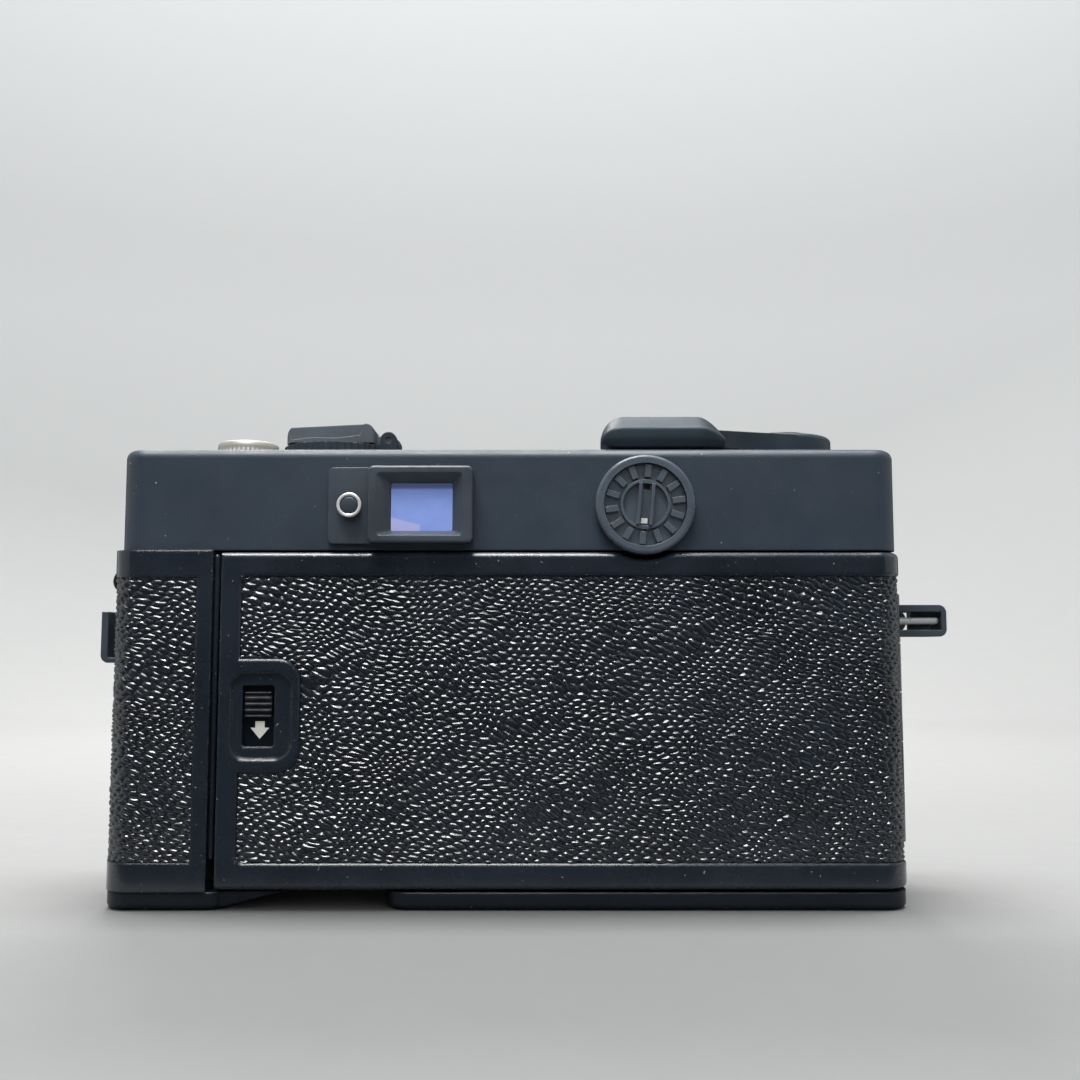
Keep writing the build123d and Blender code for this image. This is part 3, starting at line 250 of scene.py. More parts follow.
STEEL = surface(
    "steel", (0.5, 0.5, 0.49), (0.22, 0.4),
    metallic=1.0, mottle=0.12, grain=(1500.0, 0.008), stretch=(1, 1, 12),
)
BRASS = surface(
    "brass", (0.6, 0.47, 0.24), (0.25, 0.42), metallic=1.0, mottle=0.15, grain=(1500.0, 0.006)
)
CASTING = surface("casting", (0.022, 0.022, 0.023), (0.5, 0.68), grain=(1600.0, 0.03))
WIRE = surface(
    "bright_wire", (0.8, 0.79, 0.76), (0.22, 0.36), metallic=0.55, mottle=0.08, grain=(900.0, 0.004)
)
FOAM = surface("foam", (0.01, 0.01, 0.01), (0.85, 0.95), specular=0.2, grain=(2600.0, 0.15), edge=0.0)
# The blue cast of the leather stands in for the sky's bluish reflection: painted reflection over its own
# near-black tone.
GRAIN = surface(
    "leather_grain", (0.009, 0.012, 0.016), (0.19, 0.31),
    specular=1.0, grain=(6500.0, 0.012), edge=0.0, mottle=0.35,
)
CREAM = surface(
    "cream_paint", (0.74, 0.72, 0.64), (0.45, 0.6), grain=(3000.0, 0.01), mottle=0.06, edge=0.00005
)
GREY_MARK = surface(
    "grey_mark", (0.42, 0.43, 0.42), (0.5, 0.65), grain=(3000.0, 0.01), mottle=0.2, edge=0.00005
)


def lens_glass(name, tint, coating):
    """Coated glass: clear from straight on, tinted reflections at its rim."""
    material, nodes, links, shader = new_material(name)
    shader.inputs["Roughness"].default_value = 0.03
    shader.inputs["IOR"].default_value = 1.36
    coords = nodes.new("ShaderNodeTexCoord").outputs["Object"]
    facing = nodes.new("ShaderNodeLayerWeight")
    facing.inputs["Blend"].default_value = 0.35
    cloud = noise_node(nodes, links, coords, 60.0)
    rim = mixed(nodes, links, facing.outputs["Facing"], tint, coating)
    smudge = ranged(nodes, links, cloud, 0.35, 0.75, 0.0, 0.12)
    links.new(mixed(nodes, links, smudge, rim, (0.1, 0.11, 0.14)), shader.inputs["Base Color"])
    return material


def painted_pane_reflection(node):
    """The eyepiece pane's colour, all painted reflection: blue for the sky it mirrors, a paler slanting
    wedge at one lower corner and a dark band along the top edge.
    """
    low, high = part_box(node)
    material, nodes, links, shader = new_material("pane_painted_reflection")
    shader.inputs["Coat Weight"].default_value = 0.6
    shader.inputs["Coat Roughness"].default_value = 0.06
    coords = nodes.new("ShaderNodeTexCoord").outputs["Object"]
    split = nodes.new("ShaderNodeSeparateXYZ")
    links.new(coords, split.inputs["Vector"])
    across = ranged(nodes, links, split.outputs["X"], low[0], high[0], 0.0, 1.0)
    height = ranged(nodes, links, split.outputs["Z"], low[2], high[2], 0.0, 1.0)
    slope = nodes.new("ShaderNodeMath")
    slope.operation = "MULTIPLY_ADD"
    slope.inputs[1].default_value = -0.35
    links.new(across, slope.inputs[0])
    links.new(height, slope.inputs[2])
    corner = nodes.new("ShaderNodeMath")
    corner.operation = "MULTIPLY"
    links.new(ranged(nodes, links, slope.outputs[0], -0.03, -0.06, 0.0, 1.0), corner.inputs[0])
    links.new(ranged(nodes, links, across, 0.52, 0.54, 0.0, 1.0), corner.inputs[1])
    # Painted reflection: the paler wedge at the lower corner and the dark band along the top.
    reflected_wedge = corner.outputs[0]
    reflected_top_band = ranged(nodes, links, height, 0.84, 0.9, 0.0, 1.0)
    smear = noise_node(nodes, links, coords, 500.0, 4.0)
    reflection_streaks = ranged(nodes, links, smear, 0.3, 0.7, 0, 1)
    reflected_blue = mixed(nodes, links, reflection_streaks, (0.19, 0.26, 0.57), (0.21, 0.29, 0.61))
    tone = mixed(nodes, links, reflected_wedge, reflected_blue, (0.33, 0.345, 0.58))
    tone = mixed(nodes, links, reflected_top_band, tone, (0.075, 0.1, 0.21))
    links.new(tone, shader.inputs["Base Color"])
    links.new(ranged(nodes, links, smear, 0.3, 0.7, 0.08, 0.2), shader.inputs["Roughness"])
    return material


FRONT_GLASS = lens_glass("front_glass", (0.012, 0.014, 0.03), (0.16, 0.1, 0.3))
WINDOW_GLASS = lens_glass("window_glass", (0.008, 0.01, 0.012), (0.09, 0.12, 0.16))

BY_NODE = {
    "body_shell": LACQUER,
    "back_door": LACQUER,
    # The bottom cover takes the darker lacquer: painted shade.
    "bottom_cover": SHADED_LACQUER,
    "lens_plate": SATIN_PAINT,
    "finder_bezel": PLASTIC,
    "top_cover": SATIN_PAINT,
    "viewfinder_plate": PLASTIC,
    "battery_chamber": CAP_PLASTIC,
    "battery_cap": CAP_PLASTIC,
    "finder_tunnel": CASTING,
    "lever_tip": LEVER_PLASTIC,
    "advance_lever": LEVER_PLASTIC,
    "lever_shaft": BLACK_METAL,
    "rewind_knob": LEVER_PLASTIC,
    "rewind_crank": CRANK_PLASTIC,
    # The catch in its recess takes the darker lacquer: painted shade.
    "door_catch": SHADED_LACQUER,
    "ring_guard_left": PLASTIC,
    "ring_guard_right": PLASTIC,
    "takeup_spool": PLASTIC,
    "counter_disc": PLASTIC,
    "self_timer_lever": LEVER_PLASTIC,
    "film_speed_dial": CHAMPAGNE,
    "tripod_bush": BRASS,
    "door_seals": FOAM,
    "front_lens": FRONT_GLASS,
    "rear_lens": FRONT_GLASS,
    "finder_windows": WINDOW_GLASS,
    "counter_window": WINDOW_GLASS,
    "rangefinder_mirror": CHROME,
    "strap_ring_left": WIRE,
    "strap_ring_right": WIRE,
    # The eyepiece pane's colour is a painted reflection.
    "eyepiece_glass": painted_pane_reflection("eyepiece_glass"),
    "body_leather": GRAIN,
    "door_leather": GRAIN,
}
BY_CLASS = {"black_metal": BLACK_METAL, "chrome": CHROME, "steel": STEEL, "casting": CASTING}
SLOT_OF = {part["node"]: part["material_slot"] for part in frame["record"]["subparts"]}

for node_name, node_object in NODES.items():
    finish = BY_NODE.get(node_name) or BY_CLASS[SLOT_OF[node_name]]
    if not node_object.material_slots:
        node_object.data.materials.append(finish)
    for material_slot in node_object.material_slots:
        material_slot.material = finish


def round_edges(piece, width, angle=30.0):
    """A bevel on the edges sharper than an angle in degrees; width is in millimetres."""
    rounding = piece.modifiers.new("rounding", "BEVEL")
    rounding.width = width * MM
    rounding.segments = 4
    rounding.limit_method = "ANGLE"
    rounding.angle_limit = math.radians(angle)


for node_name in ("ring_guard_left", "ring_guard_right"):
    round_edges(NODES[node_name], 0.45, 50.0)


# ------------------------------------------------------------- mesh builders
def make_piece(name, points, faces, material, body, smooth=True):
    """A mesh from points in millimetres, riding on a body."""
    mesh = bpy.data.meshes.new(name)
    mesh.from_pydata([tuple(float(c) * MM for c in p) for p in points], [], faces)
    mesh.validate()
    if smooth:
        mesh.polygons.foreach_set("use_smooth", [True] * len(mesh.polygons))
    mesh.materials.append(material)
    piece = bpy.data.objects.new(name, mesh)
    bpy.context.scene.collection.objects.link(piece)
    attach(piece, body)
    return piece


def smooth_noise(x, y, seed):
    """Value noise on a unit lattice, from -1 to 1."""
    x0, y0 = np.floor(x).astype(int), np.floor(y).astype(int)
    fx, fy = x - x0, y - y0
    fx, fy = fx * fx * (3 - 2 * fx), fy * fy * (3 - 2 * fy)
    corners = [hashed(x0 + i, y0 + j, seed) for i in (0, 1) for j in (0, 1)]
    low = corners[0] * (1 - fy) + corners[1] * fy
    high = corners[2] * (1 - fy) + corners[3] * fy
    return 2 * (low * (1 - fx) + high * fx) - 1


def hashed(i, j, seed):
    """A repeatable number from 0 to 1 for each lattice cell."""
    n = (i * 73856093 + j * 19349663 + seed * 83492791) & 0x7FFFFFFF
    n = (n ^ (n >> 13)) * 1274126177 & 0x7FFFFFFF
    n = (n ^ (n >> 16)) * 1103515245 & 0x7FFFFFFF
    return ((n >> 7) & 0xFFFF) / 65535.0


# Millimetres.
PEBBLE_LENGTH = 1.6
PEBBLE_HEIGHT = 0.74
SHEET_THICKNESS = 0.6
DOOR_RELIEF = 0.44
SIDE_RELIEF = 0.37


def leather_height(s, z, seed):
    """Coarse grain: long pebbles in wavy, slightly slanting rows, from 0 to 1."""
    drift = 0.9 * smooth_noise(s / 9.0, z / 6.0, seed)
    drift += 0.35 * smooth_noise(s / 3.1, z / 2.6, seed + 1)
    u = s / PEBBLE_LENGTH + 0.7 * smooth_noise(s / 5.0, z / 3.0, seed + 2)
    v = (z + 0.2 * s + drift) / PEBBLE_HEIGHT
    row, column = np.floor(v).astype(int), np.floor(u).astype(int)
    first = np.full(s.shape, 9.0)
    second = np.full(s.shape, 9.0)
    lift = np.zeros(s.shape)
    for i in (-1, 0, 1):
        for j in (-1, 0, 1):
            cx, cy = column + i, row + j
            jitter_x, jitter_y = hashed(cx, cy, seed + 5), hashed(cx, cy, seed + 9)
            px = cx + 0.5 + 0.6 * (jitter_x - 0.5) + 0.5 * (cy % 2)
            py = cy + 0.5 + 0.5 * (jitter_y - 0.5)
            distance = np.hypot(px - u - 0.25, (py - v) * 0.95)
            nearer = distance < first
            second = np.where(nearer, first, np.minimum(second, distance))
            lift = np.where(nearer, hashed(cx, cy, seed + 13), lift)
            first = np.where(nearer, distance, first)
    gap = np.clip((second - first) / 0.8, 0, 1)
    dome = np.sin(gap * np.pi / 2) ** 0.8 * (0.66 + 0.34 * lift)
    fine = 0.1 * smooth_noise(s / 0.42, z / 0.26, seed + 21)
    return np.clip(dome + fine, 0, 1.1)


def rounded_box(x, y, low, high, radius):
    """Signed distance to a rounded rectangle, less than nothing inside."""
    centre_x, centre_y = (low[0] + high[0]) / 2, (low[1] + high[1]) / 2
    qx = np.abs(x - centre_x) - (high[0] - low[0]) / 2 + radius
    qy = np.abs(y - centre_y) - (high[1] - low[1]) / 2 + radius
    outside = np.hypot(np.maximum(qx, 0), np.maximum(qy, 0))
    return outside + np.minimum(np.maximum(qx, qy), 0) - radius


# The plan of the case: straight sides and quarter rounds, walked clockwise from
# the middle of the back, seen from above.
leather_low, leather_high = box_mm("body_leather")
WEST, EAST = leather_low[0], leather_high[0]
SOUTH, NORTH = leather_low[1], leather_high[1]
CORNER = 4.0
QUARTER = CORNER * math.pi / 2


def plan_legs():
    """(length, start point, direction, outward normal, turn) of each leg of the plan."""
    return [
        (-WEST - CORNER, (0.0, NORTH), (-1, 0), (0, 1), 0),
        (QUARTER, (WEST + CORNER, NORTH - CORNER), (-1, 0), (0, 1), 1),
        (NORTH - SOUTH - 2 * CORNER, (WEST, NORTH - CORNER), (0, -1), (-1, 0), 0),
        (QUARTER, (WEST + CORNER, SOUTH + CORNER), (0, -1), (-1, 0), 1),
        (EAST - WEST - 2 * CORNER, (WEST + CORNER, SOUTH), (1, 0), (0, -1), 0),
        (QUARTER, (EAST - CORNER, SOUTH + CORNER), (1, 0), (0, -1), 1),
        (NORTH - SOUTH - 2 * CORNER, (EAST, SOUTH + CORNER), (0, 1), (1, 0), 0),
        (QUARTER, (EAST - CORNER, NORTH - CORNER), (0, 1), (1, 0), 1),
        (EAST - CORNER, (EAST - CORNER, NORTH), (-1, 0), (0, 1), 0),
    ]


def on_plan(s):
    """Point and outward normal at a distance s round the plan, from the middle of the back."""
    legs = plan_legs()
    total = sum(leg[0] for leg in legs)
    s = np.mod(s, total)
    px, py = np.zeros(s.shape), np.zeros(s.shape)
    nx, ny = np.zeros(s.shape), np.ones(s.shape)
    start = 0.0
    for length, origin, direction, normal, turn in legs:
        inside = (s >= start) & (s <= start + length)
        t = s - start
        if turn:
            angle = t / CORNER
            c, d = np.cos(angle), np.sin(angle)
            out_x = normal[0] * c + direction[0] * d
            out_y = normal[1] * c + direction[1] * d
            here_x, here_y = origin[0] + CORNER * out_x, origin[1] + CORNER * out_y
        else:
            out_x, out_y = np.full(s.shape, normal[0]), np.full(s.shape, normal[1])
            here_x, here_y = origin[0] + direction[0] * t, origin[1] + direction[1] * t
        px, py = np.where(inside, here_x, px), np.where(inside, here_y, py)
        nx, ny = np.where(inside, out_x, nx), np.where(inside, out_y, ny)
        start += length
    return px, py, nx, ny, total


STEP = ((0.19, 0.105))


def covering(name, s_range, z_range, distance, inset, amplitude, seed, body, node=None):
    """A grained sheet that follows the case's plan, trimmed to where distance is negative."""
    columns = int((s_range[1] - s_range[0]) / STEP[0]) + 1
    rows = int((z_range[1] - z_range[0]) / STEP[1]) + 1
    margin = 0.75 * STEP[0]
    s, z = np.meshgrid(np.linspace(*s_range, columns), np.linspace(*z_range, rows), indexing="ij")
    reach = distance(s, z)
    near = np.abs(reach) < margin
    delta = 0.01
    slope_s = (distance(s + delta, z) - reach) / delta
    slope_z = (distance(s, z + delta) - reach) / delta
    s = np.where(near, s - reach * slope_s, s)
    z = np.where(near, z - reach * slope_z, z)
    keep = (reach < margin).ravel()
    height = leather_height(s, z, seed) * amplitude
    px, py, nx, ny, _ = on_plan(s)
    out = height - amplitude - inset
    points = np.stack([px + nx * out, py + ny * out, z], -1).reshape(-1, 3)
    depth = inset + SHEET_THICKNESS
    under = np.stack([px - nx * depth, py - ny * depth, z], -1).reshape(-1, 3)
    index = np.arange(columns * rows).reshape(columns, rows)
    quads = np.stack([index[:-1, :-1], index[:-1, 1:], index[1:, 1:], index[1:, :-1]], -1)
    quads = quads.reshape(-1, 4)
    quads = quads[keep[quads].all(1)]
    used, renumbered = np.unique(quads, return_inverse=True)
    quads = renumbered.reshape(-1, 4)
    points, under = points[used], under[used]
    edges = np.concatenate([quads[:, [i, (i + 1) % 4]] for i in range(4)])
    code = edges[:, 0].astype(np.int64) * len(points) + edges[:, 1]
    back_code = edges[:, 1].astype(np.int64) * len(points) + edges[:, 0]
    border = edges[~np.isin(code, back_code)]
    ring = np.unique(border)
    below = {int(v): len(points) + k for k, v in enumerate(ring)}
    skirt = [(int(b), int(a), below[int(a)], below[int(b)]) for a, b in border]
    everything = np.concatenate([points, under[ring]])
    faces = [tuple(int(v) for v in quad) for quad in quads] + skirt
    piece = make_piece(name, everything, faces, GRAIN, body)
    if node:
        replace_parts(piece, node)


ALL_ROUND = on_plan(np.zeros(1))[4]
door_low, door_high = box_mm("door_leather")
catch_low, catch_high = box_mm("door_catch")
plateau_low = (-100.0, catch_low[2] - 1.4)
plateau_high = (-(catch_low[0] - 2.4), catch_high[2] + 2.3)
# On the door, s is the distance towards -X from the middle of the back.
door_start = -door_high[0]
door_end = -WEST - CORNER + QUARTER + (NORTH - CORNER - door_low[1])


def door_edge(s, z):
    """Less than nothing inside the door's panel, round the catch's plateau."""
    frame_shape = rounded_box(s, z, (door_start, door_low[2]), (door_end, door_high[2]), 1.2)
    plateau = rounded_box(s, z, plateau_low, plateau_high, 3.3)
    return np.maximum(frame_shape, -plateau)


# The door's sheet stands a little proud of its CAD node, level with its rim.
DOOR_PROUD = 0.36
covering(
    "door_covering", (door_start, door_end), (door_low[2], door_high[2]), door_edge,
    NORTH - door_high[1] - DOOR_PROUD, DOOR_RELIEF, 3, "door", "door_leather",
)

# Measures that match the CAD: where the end sheets stop beside the door, and the lug pads.
LEFT_SHEET_X = 45.7
RIGHT_SHEET_Y = 3.8
PAD_HALF_WIDTH = 3.2
LEFT_PAD_HEIGHT = 5.8
RIGHT_PAD = (38.8, 45.2)
ABOVE_SHEETS = 60.0

lens_low, lens_high = box_mm("lens_plate")
lug_high = box_mm("strap_lugs")[1]
front_middle = ALL_ROUND / 2 + (WEST + EAST) / 2
left_side = front_middle + EAST - CORNER + QUARTER - (SOUTH + CORNER)
right_side = -WEST - CORNER + QUARTER + (NORTH - CORNER)


def side_sheet(name, start, end, side, pad, seed, node=None):
    """The leather of one end of the case, with a window for the strap lug's pad."""
    height = (leather_low[2], leather_high[2])

    def distance(s, z):
        sheet = rounded_box(s, z, (start, height[0]), (end, height[1]), 0.2)
        window = (side - PAD_HALF_WIDTH, pad[0]), (side + PAD_HALF_WIDTH, pad[1])
        return np.maximum(sheet, -rounded_box(s, z, *window, 0.3))

    covering(name, (start, end), height, distance, 0.0, SIDE_RELIEF, seed, "body", node)


side_sheet(
    "left_covering", front_middle + lens_high[0], ALL_ROUND - LEFT_SHEET_X, left_side,
    (lug_high[2] - LEFT_PAD_HEIGHT, ABOVE_SHEETS), 17, "body_leather",
)
side_sheet(
    "right_covering", right_side - RIGHT_SHEET_Y, front_middle + lens_low[0], right_side, RIGHT_PAD, 29
)


# ----------------------------------------------------------- small trim pieces
BOX_FACES = ((0, 1, 3, 2), (4, 6, 7, 5), (0, 4, 5, 1), (2, 3, 7, 6), (0, 2, 6, 4), (1, 5, 7, 3))


def solid_outline(outline, y_low, y_high, chamfer):
    """Points and faces of a flat shape drawn on X and Z, chamfered at its back face."""
    centre = np.mean(outline, axis=0)
    outline = np.asarray(outline, float)
    inner = centre + (outline - centre) * (1 - chamfer / np.abs(outline - centre).max())
    count = len(outline)
    points = [(x, y_low, z) for x, z in outline]
    points += [(x, y_high - chamfer, z) for x, z in outline]
    points += [(x, y_high, z) for x, z in inner]
    faces = [tuple(range(count)), tuple(range(3 * count - 1, 2 * count - 1, -1))]
    for layer in (0, 1):
        for i in range(count):
            a, b = layer * count + i, layer * count + (i + 1) % count
            faces.append((a, a + count, b + count, b))
    return points, faces


catch_middle = (catch_low[0] + catch_high[0]) / 2 - 0.15
ARROW_TAIL_Z = 27.0
arrow = [(-0.7, 0.0), (-0.7, -0.95), (-1.4, -0.95), (0.0, -2.6), (1.4, -0.95), (0.7, -0.95), (0.7, 0.0)]
arrow = [(catch_middle + x, ARROW_TAIL_Z + z) for x, z in arrow]
points, faces = solid_outline(arrow, catch_high[1] - 1.45, catch_high[1] - 1.34, 0.03)
make_piece("catch_arrow", points, faces, CREAM, "catch", smooth=False)

cap_low, cap_high = box_mm("battery_cap")
cap_x, cap_z = (cap_low[0] + cap_high[0]) / 2, (cap_low[2] + cap_high[2]) / 2
tilt = math.radians(-5.0)
tilt_c, tilt_s = math.cos(tilt), math.sin(tilt)
mark = []
for x, z in [(-0.5, -2.9), (0.5, -2.9), (0.5, -2.1), (-0.5, -2.1)]:
    mark.append((cap_x + x * tilt_c + z * tilt_s, cap_z - x * tilt_s + z * tilt_c))
points, faces = solid_outline(mark, cap_high[1] - 1.15, cap_high[1] - 0.6, 0.05)
make_piece("cap_mark", points, faces, GREY_MARK, "cap", smooth=False)


def dome(name, centre, radius, rise, face_y, material, body, slot_name):
    """A shallow domed button that faces +Y."""
    rings, count = 10, 48
    points, faces = [(centre[0], face_y + rise, centre[1])], []
    for k in range(1, rings + 1):
        t = k / rings
        y = face_y + rise * math.sqrt(1 - 0.999 * t * t)
        for i in range(count):
            a = 2 * math.pi * i / count
            r = radius * t
            points.append((centre[0] + r * math.cos(a), y, centre[1] + r * math.sin(a)))
    for i in range(count):
        faces.append((0, 1 + (i + 1) % count, 1 + i))
    for k in range(rings - 1):
        for i in range(count):
            a, b = 1 + k * count + i, 1 + k * count + (i + 1) % count
            faces.append((a, b, b + count, a + count))
    last = 1 + (rings - 1) * count
    faces.append(tuple(last + i for i in range(count)))
    make_piece(name, points, faces, material, body)


button_low, button_high = box_mm("battery_check_button")
button_centre = (button_low[0] + button_high[0]) / 2, (button_low[2] + button_high[2]) / 2
button_r = (button_high[0] - button_low[0]) / 2
dome(
    "check_button_centre", button_centre, 0.76 * button_r, 0.3,
    button_high[1] - 0.15, PLASTIC, "check_button", "black_plastic",
)


def turned_y(name, centre, profile, material, body, count=96):
    """A closed (radius, y) profile turned about an axis along Y."""
    points, faces = [], []
    for k in range(count):
        a = 2 * math.pi * k / count
        points += [(centre[0] + r * math.cos(a), y, centre[1] + r * math.sin(a)) for r, y in profile]
    n = len(profile)
    for k in range(count):
        for i in range(n):
            a, b = k * n + i, k * n + (i + 1) % n
            c, d = (k + 1) % count * n + i, (k + 1) % count * n + (i + 1) % n
            faces.append((a, b, d, c))
    make_piece(name, points, faces, material, body)


RIM_SIDES = 16
rim_profile = []
for k in range(RIM_SIDES):
    a = 2 * math.pi * k / RIM_SIDES
    rim_y = button_high[1] - 0.02 + 0.16 * math.sin(a)
    rim_profile.append((button_r * (0.86 + 0.13 * math.cos(a)), rim_y))
# The rim takes the pale half-metal wire finish rather than chrome, so it shows bright: a painted highlight
# in place of the chrome's reflections.
turned_y("check_button_rim", button_centre, rim_profile, WIRE, "check_button", 64)


def eased_corners(points, reach, count=4):
    """A closed outline with each corner swapped for a short curve."""
    eased = []
    for i, corner in enumerate(points):
        here = np.array(corner, float)
        before = np.array(points[i - 1], float)
        after = np.array(points[(i + 1) % len(points)], float)
        start = here + (before - here) * min(0.45, reach / np.linalg.norm(before - here))
        end = here + (after - here) * min(0.45, reach / np.linalg.norm(after - here))
        for k in range(count + 1):
            t = k / count
            eased.append((1 - t) ** 2 * start + 2 * t * (1 - t) * here + t * t * end)
    return eased


def lever_thumb_piece():
    """The moulded tip: a bullnose at its outer end, a slope at the other and a lit upper facet."""
    low, high = box_mm("lever_tip")
    slope, nose = 3.8, 3.4
    stations = np.concatenate([
        low[0] + slope * (1 - np.cos(np.linspace(0.12, math.pi / 2, 10))),
        np.linspace(low[0] + 4.2, high[0] - 3.6, 12),
        high[0] - nose * (1 - np.sin(np.linspace(0.03, math.pi / 2 - 0.06, 12))),
    ])
    stations = np.unique(stations)
    points, faces = [], []
    for x in stations:
        outer = np.clip((x - (high[0] - nose)) / nose, 0, 1)
        inner = np.clip((low[0] + slope - x) / slope, 0, 1)
        bull = math.sqrt(max(1 - outer**2, 0.0))
        top = low[2] + 2.1 + (high[2] - low[2] - 2.1) * bull - 2.6 * inner**1.6
        rear = high[1] - 2.4 * (1 - bull) - 1.1 * inner**2
        floor_z = low[2] + 0.25 + 0.9 * (1 - bull)
        front = low[1] + 1.4 * (1 - bull) + 0.6 * inner
        facet = min(3.3, 0.55 * (rear - front))
        shoulder = floor_z + 0.56 * (top - floor_z)
        section = [
            (front, floor_z),
            (rear - 0.9, floor_z),
            (rear - 0.2, floor_z + 0.45 * (shoulder - floor_z)),
            (rear, shoulder),
            (rear - facet, top),
            (front, top),
        ]
        points += [(x, y, z) for y, z in eased_corners(section, 0.42)]
    n = len(points) // len(stations)
    for k in range(len(stations) - 1):
        for i in range(n):
            a, b = k * n + i, k * n + (i + 1) % n
            faces.append((a, b, b + n, a + n))
    faces.append(tuple(range(n - 1, -1, -1)))
    faces.append(tuple((len(stations) - 1) * n + i for i in range(n)))
    return make_piece("lever_thumb_piece", points, faces, LEVER_PLASTIC, "lever")


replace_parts(lever_thumb_piece(), "lever_tip")


def knurled_dial(node):
    """The speed dial: fine upright ridges under a plain rounded shoulder and a flat top."""
    low, high = box_mm(node)
    centre = ((low[0] + high[0]) / 2, (low[1] + high[1]) / 2)
    radius = (high[0] - low[0]) / 2
    top = high[2]
    # Radius, drop below the top, and whether the ridges show there.
    profile = [
        (0.02, 0.0, 0),
        (radius - 1.3, 0.0, 0),
        (radius - 0.75, -0.12, 0),
        (radius - 0.4, -0.45, 0),
        (radius - 0.3, -1.2, 0),
        (radius - 0.3, -1.5, 0),
        (radius, -1.75, 1),
        (radius, -4.0, 1),
        (radius - 0.5, -4.3, 0),
    ]
    teeth = 42
    count = teeth * 6
    points, faces = [], []
    for k in range(count):
        a = 2 * math.pi * k / count
        notch = 0.28 * (0.5 - 0.5 * math.cos(teeth * a))
        for r, drop, ridged in profile:
            here = r - notch * ridged
            points.append((centre[0] + here * math.cos(a), centre[1] + here * math.sin(a), top + drop))
    n = len(profile)
    for k in range(count):
        for i in range(n - 1):
            a, b = k * n + i, (k + 1) % count * n + i
            faces.append((a, a + 1, b + 1, b))
    faces.append(tuple(k * n for k in range(count)))
    faces.append(tuple((count - 1 - k) * n + n - 1 for k in range(count)))
    return make_piece("knurled_dial", points, faces, CHAMPAGNE, "speed_dial")


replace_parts(knurled_dial("film_speed_dial"), "film_speed_dial")


def slab_piece(name, low, high, material, body, bevel):
    """A box from its two corners, with its edges rounded by a bevel."""
    xs, ys, zs = zip(low, high)
    points = [(x, y, z) for x in xs for y in ys for z in zs]
    piece = make_piece(name, points, list(BOX_FACES), material, body)
    round_edges(piece, bevel)


# The end section's rounded lip fills most of the gap beside the door.
door_side = box_mm("back_door")[1][0]
slab_piece(
    "case_lip", (door_side + 0.5, NORTH - 3.4, leather_low[2] + 0.3),
    (door_side + 1.3, NORTH - 0.75, leather_high[2] + 3.4), LACQUER, "body", 0.38,
)

# The web between the guard's two flanges, under the wire.
wire_low, wire_high = box_mm("strap_ring_right")
wire_z = (wire_low[2] + wire_high[2]) / 2
slab_piece(
    "guard_web", (wire_low[0] + 1.9, -1.0, wire_z - 1.5), (wire_low[0] + 4.1, 1.0, wire_z + 1.5),
    PLASTIC, "ring_right", 0.2,
)


def ring_marks(name, centre, radius, y_range, count, body, arc):
    """Raised painted lines along Y, spaced over an arc in degrees of a cylinder about Y."""
    width, height = 0.35, 0.03
    half = width / 2 / radius
    points, faces = [], []
    for k in range(count):
        a = math.radians(arc[0] + (arc[1] - arc[0]) * k / (count - 1))
        first = len(points)
        long = y_range[1] if k % 2 == 0 else y_range[0] + 0.6 * (y_range[1] - y_range[0])
        for y in (y_range[0], long):
            for r in (radius - 0.15, radius + height):
                for side in (-half, half):
                    x = centre[0] + r * math.cos(a + side)
                    points.append((x, y, centre[1] + r * math.sin(a + side)))
        faces += [tuple(first + v for v in face) for face in BOX_FACES]
    make_piece(name, points, faces, CREAM, body, smooth=False)


def top_marks(name, centre, radii, z, count, body, material):
    """Raised painted lines on a flat face that looks up, pointing at its axis."""
    width, height = 0.3, 0.04
    points, faces = [], []
    for k in range(count):
        a = 2 * math.pi * k / count
        first = len(points)
        inner = radii[0] if k % 5 == 0 else (radii[0] + radii[1]) / 2
        for h in (z - 0.1, z + height):
            for r in (inner, radii[1]):
                for side in (-width / 2, width / 2):
                    points.append((
                        centre[0] + r * math.cos(a) - side * math.sin(a),
                        centre[1] + r * math.sin(a) + side * math.cos(a), h,
                    ))
        faces += [tuple(first + v for v in face) for face in BOX_FACES]
    make_piece(name, points, faces, material, body, smooth=False)


barrel_low, barrel_high = box_mm("lens_barrel")
focus_high = box_mm("focus_ring")[1]
front_low, front_high = box_mm("front_ring")
lens_axis = ((barrel_low[0] + barrel_high[0]) / 2, (barrel_low[2] + barrel_high[2]) / 2)
ring_marks(
    "distance_scale", lens_axis, (barrel_high[0] - barrel_low[0]) / 2,
    (focus_high[1] + 1.4, focus_high[1] + 3.2), 15, "body", (40.0, 140.0),
)
ring_marks(
    "filter_rim_marks", lens_axis, (front_high[0] - front_low[0]) / 2,
    (front_low[1] + 1.2, front_low[1] + 2.6), 9, "helicoid", (70.0, 110.0),
)

# The stepped black baffle between the front glass and the filter ring.
BAFFLE_STEPS = 14
BAFFLE_RADIUS = 19.4
glass_low, glass_high = box_mm("front_lens")
baffle_inner = (glass_high[0] - glass_low[0]) / 2 + 1.0
baffle = []
for k in range(BAFFLE_STEPS):
    r = baffle_inner + (BAFFLE_RADIUS - baffle_inner) * k / BAFFLE_STEPS
    y = front_low[1] + 3.5 - 1.25 * k / BAFFLE_STEPS
    baffle += [(r, y), (r + 0.25, y - 0.22)]
baffle += [
    (BAFFLE_RADIUS, front_low[1] + 2.2),
    (BAFFLE_RADIUS, front_low[1] + 3.2),
    (baffle_inner, front_low[1] + 4.2),
]
turned_y("front_baffle", lens_axis, baffle, BLACK_METAL, "helicoid")

dial_low, dial_high = box_mm("film_speed_dial")
dial_centre = ((dial_low[0] + dial_high[0]) / 2, (dial_low[1] + dial_high[1]) / 2)
dial_r = (dial_high[0] - dial_low[0]) / 2
top_marks(
    "speed_marks", dial_centre, (0.45 * dial_r, 0.72 * dial_r), dial_high[2], 20, "speed_dial", GREY_MARK
)


